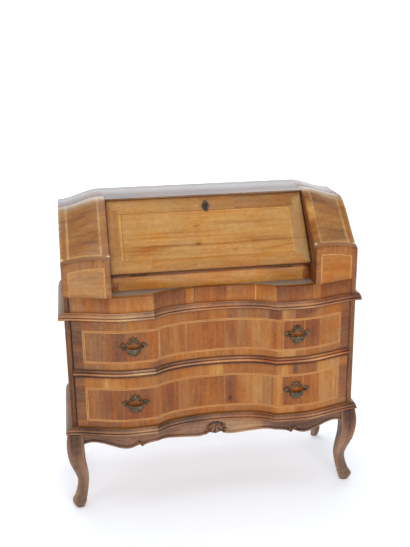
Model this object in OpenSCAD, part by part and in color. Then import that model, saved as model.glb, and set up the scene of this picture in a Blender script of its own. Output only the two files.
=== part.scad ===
// Slant-front desk: a serpentine chest of two long drawers on cabriole legs, with a
// sloping fall front between two ogee shoulders. Millimetres, +Z up, front towards -Y,
// origin on the floor under the middle of the desk.

/* [Case] */
// Width over the two side panels
case_w = 904; // [860:4:980]
// Thickness of the side panels, whose front edges show as stiles
side_t = 18; // [14:1:24]
// Thickness of the back panel
back_t = 8; // [6:1:12]
// Thickness of the bottom board
bottom_t = 24; // [16:1:30]
// Height of the opening for the lower drawer
lower_opening_h = 171; // [140:1:190]
// Thickness of the board between the drawers
mid_t = 22; // [16:1:28]
// Height of the opening for the upper drawer
upper_opening_h = 161; // [130:1:180]
// Height of the band between the upper drawer and the ledge
frieze_h = 71; // [60:1:90]
// Thickness of the band
frieze_t = 22; // [16:1:28]
// Thickness of the ledge board
ledge_t = 18; // [14:1:22]

/* [Serpentine plan] */
// Depth of the case at its front corners
corner_depth = 323; // [310:1:340]
// Depth of the case at the two lobes
lobe_depth = 367; // [355:1:385]
// Depth of the case at the hollow middle
centre_depth = 318; // [305:1:335]
// Half width of the hollow middle, where the front breaks
break_x = 188; // [160:1:210]
// Distance from the middle at which each lobe starts to fall away
lobe_x = 265; // [245:1:280]
// How far the lobe falls back again at the break
break_fall = 3; // [0:1:6]

/* [Stand] */
// Height of the stand, from the floor to the bottom board
stand_h = 264; // [236:2:300]
// Thickness of the aprons
apron_t = 20; // [14:1:26]
// Half width of the knee block of each leg
knee_half = 24; // [20:1:26]

/* [Mouldings] */
// Height of the base and waist mouldings
moulding_h = 24; // [18:1:24]
// Projection of the mouldings in front
moulding_out = 10; // [6:1:14]
// Projection of the mouldings at the sides
moulding_side = 18; // [10:1:22]
// Projection of the moulding between the drawers
mid_moulding_out = 8; // [5:1:12]

/* [Shoulders and top] */
// Half width of the opening between the shoulders
fall_half = 309; // [290:1:320]
// Thickness of the inner walls of the shoulders
partition_t = 16; // [12:1:20]
// Thickness of the front boards of the shoulders
cheek_t = 18; // [14:1:22]
// Thickness of the sloping boards, measured upright
slope_t = 15; // [12:1:18]
// Height of the nosing above the ledge, at the inner end
nose_in_h = 116; // [100:1:124]
// Height of the nosing above the ledge, at the outer end
nose_out_h = 96; // [84:1:102]
// How far the nosing arches up between its ends
nose_arch = 7; // [0:1:12]
// Thickness of the top board
top_t = 16; // [14:1:20]
// How far the top falls in its ogee at each end
top_fall = 30; // [20:1:34]
// Distance of the seam of the top board from the back
seam_depth = 128; // [110:1:140]

/* [Fall front] */
// Height of the rail below the fall front
rail_h = 46; // [42:1:60]
// Thickness of the rail
rail_t = 18; // [16:1:22]
// Thickness of the writing bed
bed_t = 16; // [12:1:18]
// Length of the fall front up its slope
fall_len = 238; // [220:1:250]
// Angle of the closed fall front above the level
fall_angle = 53.4; // [50:0.2:56]
// Thickness of the fall front
fall_t = 20; // [18:1:24]
// Distance of the hinge line from the back
hinge_depth = 299; // [292:1:306]

/* [Supports] */
// Width of each pull-out support
loper_w = 22; // [16:1:26]
// Height of each pull-out support
loper_h = 25; // [18:1:25]
// Space behind each pull-out support
loper_behind = 5.5; // [2:0.5:30]

/* [Drawers] */
// Thickness of the drawer fronts
front_t = 22; // [16:1:26]
// Thickness of the drawer sides and backs
drawer_side_t = 12; // [8:1:14]
// Thickness of the drawer bottoms
drawer_bottom_t = 6; // [4:1:8]
// Space around each drawer front
front_gap = 2.5; // [1.5:0.5:4]
// Space behind the drawers
drawer_behind = 12; // [6:1:30]

/* [Pulls] */
// Distance of the pulls from the middle
pull_x = 253; // [235:1:280]
// Half distance between the lugs of a pull
pull_half = 19; // [17:1:24]
// Drop of the hanging bail, to the middle of its grip
bail_drop = 19.5; // [17:0.5:24]
// Thickness of the pierced plates
plate_t = 2.5; // [1.5:0.5:3]

/* [Gallery] */
// Depth of the gallery from the back of the desk
gallery_depth = 133; // [120:1:138]
// Height of the small drawers
small_drawer_h = 58; // [45:1:64]
// Thickness of the gallery boards
gallery_t = 8; // [6:1:10]
// Distance of the lower dividers from the middle
niche_half = 100; // [80:1:130]

/* [Hidden] */

$fn = 32;

// Colours of the materials
walnut = "#a8682f";
golden = "#bd8440";
dark_walnut = "#6f4526";
inner_wood = "#c79a63";
bronze = "#4a4033";
brass = "#b08d4a";
steel = "#8a8a86";

// Clearances: between faces that meet, and between pieces that slide
seat = 0.2;
slide = 0.4;

// Levels, from the floor up
bottom_top = stand_h + bottom_t;
mid_z = bottom_top + lower_opening_h;
mid_top = mid_z + mid_t;
waist_z = mid_top + upper_opening_h;
ledge_z = waist_z + frieze_h;
bed_z = ledge_z + rail_h;

// Half widths
half_w = case_w / 2;
inner_half = half_w - side_t;

// Fall front: its upper outer corner, and the top that closes on it
fall_gap = 1.5;
fall_rise = 8;
crest_set = 7.2;
fall_top_depth = hinge_depth - fall_len * cos(fall_angle) + fall_t * sin(fall_angle);
fall_top_z = bed_z + fall_len * sin(fall_angle) + fall_t * cos(fall_angle);
top_z = fall_top_z + fall_rise;
fall_half_w = fall_half - 3;

// Pulls: how far the lugs and bails stand out from the drawer front
pivot_out = 6;
bail_out = 4;
bail_tall = 7;

// Front to back: the box round the whole desk is centred on the origin
front_reach = lobe_depth + seat + plate_t + pivot_out + bail_out;
back_y = front_reach / 2;

// Depth of the case front at a distance x from the middle
curve_past = 23;
corner_run = half_w + curve_past - lobe_x;
function fall_share(x) = (1 - cos(180 * min(1, (half_w + curve_past - x) / corner_run))) / 2;
function lobe_line(x) = corner_depth + (lobe_depth - corner_depth) * fall_share(x);
function crown_line(x) = lobe_depth - break_fall * pow((lobe_x - x) / (lobe_x - break_x), 2);
function hollow_line(r) = centre_depth
    + (lobe_depth - break_fall - centre_depth) * (0.55 * pow(r, 2) + 0.45 * pow(r, 5));
function case_depth(x) =
    abs(x) > lobe_x ? lobe_line(abs(x))
    : abs(x) > break_x ? crown_line(abs(x))
    : hollow_line(abs(x) / break_x);
function front_y(x) = back_y - case_depth(x);

// Stations along the front, with one at each break
outer_steps = 16;
hollow_steps = 20;
function flank(from, to, steps) = [for (i = [0 : steps]) from + (to - from) * i / steps];
function stations(reach) = concat(
    flank(-reach, -break_x, outer_steps),
    [for (i = [1 : hollow_steps - 1]) -break_x + 2 * break_x * i / hollow_steps],
    flank(break_x, reach, outer_steps));
function front_line(xs, inset) = [for (x = xs) [x, front_y(x) + inset]];
function backwards(list) = [for (i = [len(list) - 1 : -1 : 0]) list[i]];

// A board whose front edge follows the case, from an inset to a line near the back
module serpentine_board(reach, inset, behind, thick) {
    xs = stations(reach);
    linear_extrude(thick)
        polygon(concat(front_line(xs, inset),
                       [[reach, back_y - behind], [-reach, back_y - behind]]));
}

// A bent board that follows the case front, between two insets
module serpentine_slab(xs, inset, thick, height) {
    linear_extrude(height)
        polygon(concat(front_line(xs, inset), backwards(front_line(xs, inset + thick))));
}

// A solid lofted through rings of equal length, closed at both ends. The ends of a thin
// ring, drawn out along one side and back along the other, are closed rung by rung
function end_faces(count, start, thin) =
    thin ? [for (j = [0 : count / 2 - 2]) each
               let (far = count - 1 - j)
               [[start + j, start + j + 1, start + far - 1], [start + j, start + far - 1, start + far]]]
    : [[for (j = [0 : count - 1]) start + j]];
module loft(rings, thin = false) {
    count = len(rings[0]);
    last = len(rings) - 1;
    points = [for (ring = rings) each ring];
    sides = [for (i = [0 : last - 1], j = [0 : count - 1]) each
        let (a = i * count + j, b = i * count + (j + 1) % count)
        [[a, b, a + count], [b, b + count, a + count]]];
    first_end = [for (face = end_faces(count, 0, thin)) backwards(face)];
    last_end = end_faces(count, last * count, thin);
    polyhedron(points, concat(first_end, sides, last_end));
}

// A smooth curve through control values, one control row to each whole step
function spline(rows, t, column) =
    let (last = len(rows) - 1,
         k = min(floor(t), last - 1),
         f = t - k,
         a = rows[max(k - 1, 0)][column],
         b = rows[k][column],
         c = rows[k + 1][column],
         d = rows[min(k + 2, last)][column])
    b + f * ((c - a) / 2 + f * ((2 * a - 5 * b + 4 * c - d) / 2 + f * (3 * b - a - 3 * c + d) / 2));

// Stand

// Front leg, a cabriole: height as a share of the stand, set-back of the centre line from
// both faces of the case corner, half width, and squareness of the section
leg_rows = [
    [0.000, 9.0, 15.0, 2.2],
    [0.035, 8.0, 20.5, 2.3],
    [0.080, 9.5, 21.7, 2.4],
    [0.150, 16.5, 19.6, 2.5],
    [0.250, 23.7, 17.8, 2.6],
    [0.340, 26.0, 18.0, 2.7],
    [0.430, 22.0, 21.0, 2.8],
    [0.530, 16.0, 24.0, 3.0],
    [0.640, 10.0, 26.3, 3.2],
    [0.760, 6.5, 27.3, 3.6],
    [0.880, 7.5, 27.3, 4.4],
    [1.000, 11.0, knee_half, 7.0]];
// Rear leg, flat behind: it curves in sideways and tapers to the foot
rear_leg_rows = [
    [0.000, 35.0, 10.0, 2.4],
    [0.040, 34.5, 12.5, 2.5],
    [0.110, 33.0, 16.0, 2.7],
    [0.210, 28.0, 20.0, 3.0],
    [0.380, 21.0, 22.0, 3.2],
    [0.560, 14.0, 24.0, 3.6],
    [0.780, 8.0, 26.0, 4.4],
    [1.000, 11.0, knee_half, 7.0]];
leg_top_set = leg_rows[len(leg_rows) - 1][1];
leg_corners = 20;
leg_fill = 2;
function rounded(t, power) = sign(t) * pow(abs(t), 2 / power);
function leg_ring(rows, t, flat) =
    let (z = stand_h * spline(rows, t, 0),
         back = spline(rows, t, 1),
         half = spline(rows, t, 2),
         power = spline(rows, t, 3),
         deep = flat ? half : back)
    [for (j = [0 : leg_corners - 1]) let (a = 360 * j / leg_corners)
        [back + half * rounded(cos(a), power), deep + half * rounded(sin(a), power), z]];

module leg(rows, flat) {
    steps = (len(rows) - 1) * leg_fill;
    color(dark_walnut)
        loft([for (i = [0 : steps]) leg_ring(rows, i / leg_fill, flat)]);
}
// A leg drawn at the origin stands in the corner of +X and +Y; the signs turn it
module place_leg(left, front) {
    translate([left ? -half_w : half_w, front ? back_y - corner_depth : back_y, 0])
        mirror([left ? 0 : 1, 0, 0])
            mirror([0, front ? 0 : 1, 0])
                leg(front ? leg_rows : rear_leg_rows, !front);
}
module leg_front_left() place_leg(true, true);
module leg_front_right() place_leg(false, true);
module leg_rear_left() place_leg(true, false);
module leg_rear_right() place_leg(false, false);

// Lower edge of the front apron: distance from the middle as a share of its half
// length, and the drop below the case
apron_drop = [
    [0.000, 47], [0.040, 42], [0.085, 50], [0.130, 52], [0.200, 49], [0.300, 42],
    [0.380, 34], [0.450, 30], [0.530, 34], [0.575, 41], [0.592, 34], [0.620, 40],
    [0.670, 46], [0.730, 44], [0.800, 36], [0.870, 29], [0.940, 28], [1.000, 36]];
apron_fill = 4;
apron_end = half_w - leg_top_set - knee_half - seat;
function apron_edge(side) = [for (i = [0 : (len(apron_drop) - 1) * apron_fill])
    let (t = i / apron_fill)
    [side * apron_end * spline(apron_drop, t, 0), stand_h - spline(apron_drop, t, 1)]];

module apron_front() {
    edge = concat(backwards(apron_edge(-1)), [for (i = [1 : len(apron_edge(1)) - 1]) apron_edge(1)[i]]);
    outline = concat(edge, [[apron_end, stand_h], [-apron_end, stand_h]]);
    color(dark_walnut) intersection() {
        serpentine_slab(stations(apron_end), 0, apron_t, stand_h + 1);
        translate([0, back_y, 0])
            rotate([90, 0, 0])
                linear_extrude(lobe_depth + 1)
                    polygon(outline);
    }
}

// Side apron: a shallow arch between the knee blocks
side_apron_ends = 40;
side_apron_rise = 14;
widest_rear = max([for (row = rear_leg_rows) row[2]]);
module side_apron(left) {
    front = back_y - corner_depth + leg_top_set + knee_half + seat;
    rear = back_y - 2 * widest_rear - slide;
    arch = [for (i = [0 : 24]) let (t = i / 24)
        [front + (rear - front) * t, stand_h - side_apron_ends + side_apron_rise * sin(180 * t)]];
    x = left ? -half_w : half_w - apron_t;
    color(dark_walnut)
        translate([x, 0, 0])
            rotate([90, 0, 90])
                linear_extrude(apron_t)
                    polygon(concat(arch, [[rear, stand_h], [front, stand_h]]));
}
module apron_left() side_apron(true);
module apron_right() side_apron(false);

module apron_rear() {
    rail_drop = 40;
    color(dark_walnut)
        translate([-apron_end, back_y - apron_t, stand_h - rail_drop])
            cube([2 * apron_end, apron_t, rail_drop]);
}

// Mouldings

// Profile of the case mouldings: projection and height as shares of the whole
moulding_shape = [
    [0, 0], [0.62, 0], [0.9, 0.08], [1, 0.2], [0.97, 0.34], [0.84, 0.42], [0.78, 0.46],
    [0.8, 0.54], [0.7, 0.66], [0.52, 0.76], [0.42, 0.86], [0.4, 1], [0, 1]];
// Profile of the moulding between the drawers: a round between two fillets
mid_shape = [
    [0, 0], [0.35, 0], [0.35, 0.14], [0.75, 0.2], [0.97, 0.36], [1, 0.52], [0.93, 0.68],
    [0.7, 0.82], [0.35, 0.86], [0.35, 1], [0, 1]];

// Outward direction of the front at station i
function front_turn(xs, i) =
    let (a = xs[max(i - 1, 0)],
         b = xs[min(i + 1, len(xs) - 1)],
         run = b - a,
         rise = front_y(b) - front_y(a))
    [rise, -run] / norm([run, rise]);

module front_moulding(reach, shape, out, height, end_out) {
    xs = stations(reach);
    last = len(xs) - 1;
    rings = [for (i = [0 : last])
        let (turn = front_turn(xs, i),
             end = i == 0 ? -1 : i == last ? 1 : 0,
             step = end == 0 ? out * turn : [end * end_out, -out])
        [for (p = shape)
            [xs[i] + p[0] * step[0], front_y(xs[i]) - seat + p[0] * step[1], p[1] * height]]];
    color(dark_walnut) loft(rings);
}

module side_moulding(left) {
    front = front_y(half_w) - seat;
    y_ends = [front, back_y];
    rings = [for (k = [0, 1]) [for (p = moulding_shape)
        [half_w + seat + p[0] * moulding_side,
         y_ends[k] - (1 - k) * (p[0] * moulding_out - seat), p[1] * moulding_h]]];
    color(dark_walnut)
        mirror([left ? 1 : 0, 0, 0])
            loft(rings);
}
module side_mouldings(z) {
    for (left = [true, false])
        translate([0, 0, z])
            side_moulding(left);
}

module base_moulding_front() translate([0, 0, stand_h])
    front_moulding(half_w, moulding_shape, moulding_out, moulding_h, moulding_side);
module base_moulding_sides() side_mouldings(stand_h);
module waist_moulding_front() translate([0, 0, waist_z])
    front_moulding(half_w, moulding_shape, moulding_out, moulding_h, moulding_side);
module waist_moulding_sides() side_mouldings(waist_z);
module mid_moulding() translate([0, 0, mid_z])
    front_moulding(inner_half - seat, mid_shape, mid_moulding_out, mid_t, 0);

// Case

module bottom_board() color(walnut) translate([0, 0, stand_h])
    serpentine_board(half_w, 0, 0, bottom_t);
module dust_board() color(inner_wood) translate([0, 0, mid_z])
    serpentine_board(inner_half - seat, 0, back_t + seat, mid_t);
module ledge_board() color(walnut) translate([0, 0, ledge_z - ledge_t])
    serpentine_board(inner_half - seat, frieze_t + seat, back_t + seat, ledge_t);
module frieze_band() color(golden) translate([0, 0, waist_z])
    serpentine_slab(stations(inner_half - seat), 0, frieze_t, frieze_h);

module kicker_rails() {
    kicker_w = 20;
    front = back_y - case_depth(inner_half) + frieze_t + seat + 2;
    rear = back_y - back_t - seat;
    top = ledge_z - ledge_t;
    color(inner_wood)
        for (side = [-1, 1])
            translate([side * (inner_half - seat - kicker_w / 2), (front + rear) / 2, (waist_z + top) / 2])
                cube([kicker_w, rear - front, top - waist_z], center = true);
}

// Height of the top at a distance x from the middle: level, then an ogee at each end
ogee_from = fall_half + 11;
function ease(t) = t * t * (3 - 2 * t);
function roof_z(x) = top_z - top_fall * ease(min(1, max(0, (abs(x) - ogee_from) / (half_w - ogee_from))));

// Sloping surface of a shoulder: nosing, ogee rise and rounded crest
function across(x) = (abs(x) - fall_half) / (half_w - fall_half);
function nose_y(x) = front_y(x);
function nose_z(x) = ledge_z + nose_in_h - (nose_in_h - nose_out_h) * across(x)
    + nose_arch * sin(180 * across(x));
crest_depth = fall_top_depth - crest_set;
function crest_y(x) = back_y - crest_depth + (crest_depth - seam_depth) * across(x);
function nose_pitch(x) = 0.12 + 0.4 * across(x);
function rise_curve(u, pitch) =
    pitch * u * pow(1 - u, 2) + u * u * (3 - 2 * u) - 0.1 * u * u * (u - 1);
function shoulder_z(x, y) =
    let (u = min(1, max(0, (y - nose_y(x)) / (crest_y(x) - nose_y(x)))))
    nose_z(x) + (roof_z(x) - nose_z(x)) * rise_curve(u, nose_pitch(x));

// Upright outline of a wall that carries the slope and the top, at distance x
function wall_top(x, front) =
    let (steps = 28, seam_y = back_y - seam_depth, under = roof_z(x) - max(slope_t, top_t) - seat)
    concat([for (i = [0 : steps]) let (y = front + (seam_y - front) * i / steps)
               [y, shoulder_z(x, y) - slope_t - seat]],
           [[seam_y, under], [back_y, under]]);

module side_panel(left) {
    front = front_y(half_w);
    behind_cheek = front + cheek_t + 4;
    outline = concat([[back_y, bottom_top], [front, bottom_top], [front, ledge_z], [behind_cheek, ledge_z]],
                     wall_top(half_w, behind_cheek));
    x = left ? -half_w : inner_half;
    color(walnut)
        translate([x, 0, 0])
            rotate([90, 0, 90])
                linear_extrude(side_t)
                    polygon(outline);
}
module side_panel_left() side_panel(true);
module side_panel_right() side_panel(false);

module partition(left) {
    outer = fall_half + partition_t;
    front = front_y(fall_half) + cheek_t + 6;
    rear = back_y - back_t - seat;
    outline = concat([[rear, ledge_z], [front, ledge_z]],
                     [for (p = wall_top(outer, front)) [min(p[0], rear), p[1]]]);
    color(walnut)
        translate([left ? -outer : fall_half, 0, 0])
            rotate([90, 0, 90])
                linear_extrude(partition_t)
                    polygon(outline);
}
module partition_left() partition(true);
module partition_right() partition(false);

cheek_steps = 12;
function cheek_xs() = flank(fall_half, half_w, cheek_steps);

// Front board: its arched upper end carries on the surface of the slope behind it
cheek_top_steps = 3;
function cheek_ring(x) =
    let (start = nose_y(x))
    concat([[x, start, ledge_z]],
           [for (i = [0 : cheek_top_steps]) let (y = start + cheek_t * i / cheek_top_steps)
               [x, y, shoulder_z(x, y)]],
           [[x, start + cheek_t, ledge_z]]);
module shoulder_front(left) {
    color(golden)
        mirror([left ? 1 : 0, 0, 0])
            loft([for (x = cheek_xs()) cheek_ring(x)]);
}
module shoulder_front_left() shoulder_front(true);
module shoulder_front_right() shoulder_front(false);

slope_steps = 20;
function slope_ring(x) =
    let (start = nose_y(x) + cheek_t + seat,
         end = back_y - seam_depth,
         ys = [for (i = [0 : slope_steps]) start + (end - start) * i / slope_steps])
    concat([for (y = ys) [x, y, shoulder_z(x, y)]],
           [for (y = backwards(ys)) [x, y, shoulder_z(x, y) - slope_t]]);
module shoulder_slope(left) {
    color(walnut)
        mirror([left ? 1 : 0, 0, 0])
            loft([for (x = cheek_xs()) slope_ring(x)], thin = true);
}
module shoulder_slope_left() shoulder_slope(true);
module shoulder_slope_right() shoulder_slope(false);

// Outline of the top across the desk, and of the back that carries it
roof_steps = 16;
function roof_line(reach, drop) = concat(
    [for (x = flank(-reach, -ogee_from, roof_steps)) [x, roof_z(x) - drop]],
    [for (x = flank(ogee_from, reach, roof_steps)) [x, roof_z(x) - drop]]);

module top_board() {
    front_edge = fall_top_depth - fall_gap * cos(fall_angle);
    edge_z = fall_top_z + fall_gap * sin(fall_angle);
    lean = tan(fall_angle);
    upper = [front_edge + (top_z - edge_z) * lean, top_z];
    lower = [front_edge + (top_z - top_t - edge_z) * lean, top_z - top_t];
    tongue = [[back_y - upper[0], upper[1]], [back_y - lower[0], lower[1]],
              [back_y - seam_depth + seat, top_z - top_t], [back_y - seam_depth + seat, top_z]];
    line = roof_line(half_w, 0);
    color(walnut) difference() {
        union() {
            translate([0, back_y, 0])
                rotate([90, 0, 0])
                    linear_extrude(seam_depth - seat)
                        polygon(concat(backwards(line), roof_line(half_w, top_t)));
            translate([-fall_half + seat, 0, 0])
                rotate([90, 0, 90])
                    linear_extrude(2 * (fall_half - seat))
                        polygon(tongue);
        }
        in_fall()
            translate([-bolt_w / 2 - 1, fall_len - 5, bolt_n - bolt_t / 2 - 1])
                cube([bolt_w + 2, bolt_travel + 7, bolt_t + 2]);
    }
}

module back_panel() {
    line = roof_line(inner_half - seat, max(slope_t, top_t) + seat);
    reach = inner_half - seat;
    color(inner_wood)
        translate([0, back_y, 0])
            rotate([90, 0, 0])
                linear_extrude(back_t)
                    polygon(concat([[reach, bottom_top], [-reach, bottom_top]], line));
}

// Fall front

// Places a child in the frame of the closed fall: X along the hinge, Y up the slope,
// Z out of the desk, from the hinge line
module in_fall() {
    translate([0, back_y - hinge_depth, bed_z])
        rotate([fall_angle, 0, 0])
            children();
}

// Hinges
hinge_x = 225;
hinge_w = 56;
knuckle_r = 3;
leaf_t = 1.6;
leaf_len = 15;
pin_r = 1.2;

// Lock, counted outwards from the inner face of the fall
lock_w = 62;
lock_h = 44;
lock_from = 0.6;
lock_to = fall_t - 5;
bolt_w = 22;
bolt_t = 4;
bolt_len = 30;
bolt_n = lock_to - 4.5;
bolt_travel = 7;
key_in = 29;
key_s = fall_len - key_in;

module hinge_cuts() {
    for (side = [-1, 1])
        translate([side * hinge_x - hinge_w / 2 - slide, 0, 0])
            rotate([0, 90, 0])
                cylinder(r = knuckle_r + slide, h = hinge_w + 2 * slide);
}

module keyhole(depth) {
    translate([0, 0, -0.5])
        cylinder(r = 3, h = depth + 1);
    translate([-1.3, -9, -0.5])
        cube([2.6, 9, depth + 1]);
}

module fall_front() {
    edge = 1.2;
    outline = [[0, 0], [0, fall_t - edge], [edge, fall_t], [fall_len - edge, fall_t],
               [fall_len, fall_t - edge], [fall_len, 0]];
    color(golden) in_fall() difference() {
        translate([-fall_half_w, 0, 0])
            rotate([90, 0, 90])
                linear_extrude(2 * fall_half_w)
                    polygon(outline);
        hinge_cuts();
        for (side = [-1, 1])
            translate([side * hinge_x - hinge_w / 2 - slide, -1, -1])
                cube([hinge_w + 2 * slide, leaf_len + knuckle_r + 1 + slide, leaf_t + 1]);
        translate([-lock_w / 2 - seat, fall_len - lock_h - seat, -1])
            cube([lock_w + 2 * seat, lock_h + seat + 1, lock_to + 1 + seat]);
        translate([0, key_s, lock_to])
            keyhole(fall_t - lock_to);
    }
}

// Outline of the pierced key plate: a shield that narrows in scrolls to a point
key_plate_w = 11;
key_plate_h = 16;
key_plate_t = 1.8;
function shield(a, w, h) =
    let (s = sin(a), c = cos(a))
    [w * c * (1 - 0.22 * pow(s, 2) + 0.1 * cos(4 * a)),
     h * (s + 0.12 * s * abs(s)) * (1 + 0.06 * cos(6 * a))];
module fall_escutcheon() {
    color(bronze) in_fall() translate([0, key_s - 3, fall_t + seat / 2]) difference() {
        linear_extrude(key_plate_t)
            polygon([for (i = [0 : 39]) shield(360 * i / 40, key_plate_w, key_plate_h)]);
        translate([0, 3, 0])
            keyhole(key_plate_t);
    }
}

module fall_lock() {
    color(brass) in_fall() difference() {
        translate([-lock_w / 2, fall_len - lock_h, lock_from])
            cube([lock_w, lock_h - 0.3, lock_to - lock_from]);
        translate([-bolt_w / 2 - slide, fall_len - bolt_len - 2, bolt_n - bolt_t / 2 - slide])
            cube([bolt_w + 2 * slide, bolt_len + 4, bolt_t + 2 * slide]);
        translate([0, key_s, bolt_n + bolt_t / 2])
            keyhole(lock_to - bolt_n - bolt_t / 2);
    }
}

module lock_bolt() {
    color(steel) in_fall()
        translate([-bolt_w / 2, fall_len - 0.4 - (bolt_len - 2), bolt_n - bolt_t / 2])
            difference() {
                cube([bolt_w, bolt_len - 2, bolt_t]);
                translate([bolt_w / 2 - 4, -1, -1])
                    cube([8, 8, bolt_t + 2]);
            }
}

// Knuckles share the hinge line: two outer ones on the case, a middle one on the fall.
// Each leaf runs into its knuckles from between the pin and the knuckle's outside
knuckle_w = hinge_w / 3 - slide;
leaf_from = 0.6 * knuckle_r;
module case_leaf() {
    rotate([0, 90, 0])
        for (k = [-1, 1])
            translate([0, 0, k * hinge_w / 3])
                cylinder(r = knuckle_r, h = knuckle_w, center = true);
    rotate([0, 90, 0])
        cylinder(r = pin_r, h = hinge_w - 1, center = true);
    for (k = [-1, 1])
        translate([k * hinge_w / 3 - knuckle_w / 2, leaf_from, -leaf_t + seat])
            cube([knuckle_w, leaf_len - leaf_from, leaf_t - seat]);
    translate([-hinge_w / 2, knuckle_r + slide + 0.4, -leaf_t + seat])
        cube([hinge_w, leaf_len - knuckle_r - slide - 0.4, leaf_t - seat]);
}
module hinge_case_leaves() {
    color(brass)
        for (side = [-1, 1])
            translate([side * hinge_x, back_y - hinge_depth, bed_z])
                case_leaf();
}
module hinge_fall_leaves() {
    color(brass) in_fall()
        for (side = [-1, 1])
            translate([side * hinge_x, 0, 0])
                difference() {
                    union() {
                        rotate([0, 90, 0])
                            cylinder(r = knuckle_r, h = knuckle_w, center = true);
                        translate([-knuckle_w / 2, leaf_from, 0])
                            cube([knuckle_w, leaf_len - leaf_from, leaf_t - seat]);
                        translate([-hinge_w / 2, knuckle_r + slide + 0.4, 0])
                            cube([hinge_w, leaf_len - knuckle_r - slide - 0.4, leaf_t - seat]);
                    }
                    rotate([0, 90, 0])
                        cylinder(r = pin_r + 0.25, h = hinge_w + 2, center = true);
                }
}

// Rail and writing bed behind it, notched for the supports
rail_set = 0.5;
loper_x = fall_half - loper_w / 2 - 2 * slide;
loper_len = hinge_depth - rail_set - back_t - loper_behind;
module fall_rail() {
    y = back_y - hinge_depth + rail_set;
    color(walnut) difference() {
        translate([-fall_half + seat, y, ledge_z + seat])
            cube([2 * (fall_half - seat), rail_t, rail_h - seat]);
        for (side = [-1, 1])
            translate([side * (loper_x + 5) - loper_w / 2 - 5 - slide, y - 1, ledge_z - 1])
                cube([loper_w + 10 + 2 * slide, rail_t + 2, loper_h + 1 + 2 * slide]);
        translate([0, back_y - hinge_depth, bed_z])
            hinge_cuts();
        for (side = [-1, 1])
            translate([side * hinge_x - hinge_w / 2 - slide, y - 1, bed_z - leaf_t])
                cube([hinge_w + 2 * slide, leaf_len + 2, leaf_t + 1]);
    }
}
module writing_bed() {
    front = back_y - hinge_depth + rail_set + rail_t + seat;
    rear = back_y - back_t - seat;
    color(walnut)
        translate([-fall_half + seat, front, bed_z - bed_t])
            cube([2 * (fall_half - seat), rear - front, bed_t]);
}

module loper(side) {
    color(dark_walnut)
        translate([side * loper_x - loper_w / 2, back_y - hinge_depth + rail_set, ledge_z + slide / 2])
            cube([loper_w, loper_len, loper_h]);
}
module loper_left() loper(-1);
module loper_right() loper(1);

// Gallery

gallery_front = back_y - gallery_depth;
gallery_rear = back_y - back_t - seat;
shelf_z = bed_z + small_drawer_h;
module gallery_shelf() {
    color(inner_wood)
        translate([-fall_half + seat, gallery_front, shelf_z])
            cube([2 * (fall_half - seat), gallery_rear - gallery_front, gallery_t]);
}

// Dividers: two low ones beside the niche, and four with waved fronts above the shelf
pigeon_holes = 5;
divider_wave = 9;
module gallery_dividers() {
    bay = 2 * fall_half / pigeon_holes;
    low = shelf_z + gallery_t + seat;
    high = top_z - top_t - seat;
    wave = [for (i = [0 : 16]) let (t = i / 16)
        [gallery_front + divider_wave * (1 - cos(360 * t)) + 10 * t, low + (high - low) * t]];
    color(inner_wood) {
        for (side = [-1, 1])
            translate([side * niche_half - gallery_t / 2, gallery_front, bed_z + seat])
                cube([gallery_t, gallery_rear - gallery_front, small_drawer_h - 2 * seat]);
        for (k = [1 : pigeon_holes - 1])
            translate([-fall_half + bay * k - gallery_t / 2, 0, 0])
                rotate([90, 0, 90])
                    linear_extrude(gallery_t)
                        polygon(concat(wave, [[gallery_rear, high], [gallery_rear, low]]));
    }
}

small_wall = 5;
small_front_t = 9;
small_w = fall_half - niche_half - gallery_t / 2 - 4 * slide;
small_len = gallery_depth - back_t - 4;
module gallery_drawer(side) {
    x = side * (fall_half + niche_half + gallery_t / 2) / 2;
    height = small_drawer_h - 3 * slide;
    color(golden)
        translate([x - small_w / 2, gallery_front, bed_z + slide])
            difference() {
                cube([small_w, small_len, height]);
                translate([small_wall, small_front_t, small_wall])
                    cube([small_w - 2 * small_wall, small_len - small_front_t - small_wall, height]);
            }
}
module gallery_drawer_left() gallery_drawer(-1);
module gallery_drawer_right() gallery_drawer(1);

module gallery_knob(side) {
    x = side * (fall_half + niche_half + gallery_t / 2) / 2;
    color(brass)
        translate([x, gallery_front, bed_z + small_drawer_h / 2])
            rotate([90, 0, 0])
                rotate_extrude()
                    polygon([[0, 0.1], [5.5, 0.1], [5.5, 1.2], [2.2, 2.4], [2, 5], [4.4, 7],
                             [5.6, 9], [4.8, 11.2], [2.4, 12.4], [0, 12.6]]);
}
module gallery_knob_left() gallery_knob(-1);
module gallery_knob_right() gallery_knob(1);

// Long drawers

drawer_half = inner_half - front_gap;
drawer_top_gap = 8;
drawer_rear = back_y - back_t - drawer_behind;
function side_front_y() = front_y(drawer_half) + front_t + seat + 2;

module drawer_front(z, opening_h) {
    color(walnut)
        translate([0, 0, z + front_gap])
            serpentine_slab(stations(drawer_half), 0, front_t, opening_h - 2 * front_gap);
}
module drawer_side(z, opening_h, side) {
    front = side_front_y();
    color(inner_wood)
        translate([side * (drawer_half - drawer_side_t / 2) - drawer_side_t / 2, front, z + slide])
            cube([drawer_side_t, drawer_rear - front, opening_h - drawer_top_gap]);
}
module drawer_back(z, opening_h) {
    reach = drawer_half - drawer_side_t - seat;
    color(inner_wood)
        translate([-reach, drawer_rear - drawer_side_t, z + slide])
            cube([2 * reach, drawer_side_t, opening_h - drawer_top_gap - 6]);
}
module drawer_bottom(z) {
    reach = drawer_half - drawer_side_t - seat;
    color(inner_wood)
        translate([0, 0, z + 8])
            serpentine_board(reach, front_t + seat, back_t + drawer_behind + drawer_side_t + seat,
                             drawer_bottom_t);
}
module upper_drawer_front() drawer_front(mid_top, upper_opening_h);
module upper_drawer_side_left() drawer_side(mid_top, upper_opening_h, -1);
module upper_drawer_side_right() drawer_side(mid_top, upper_opening_h, 1);
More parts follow.
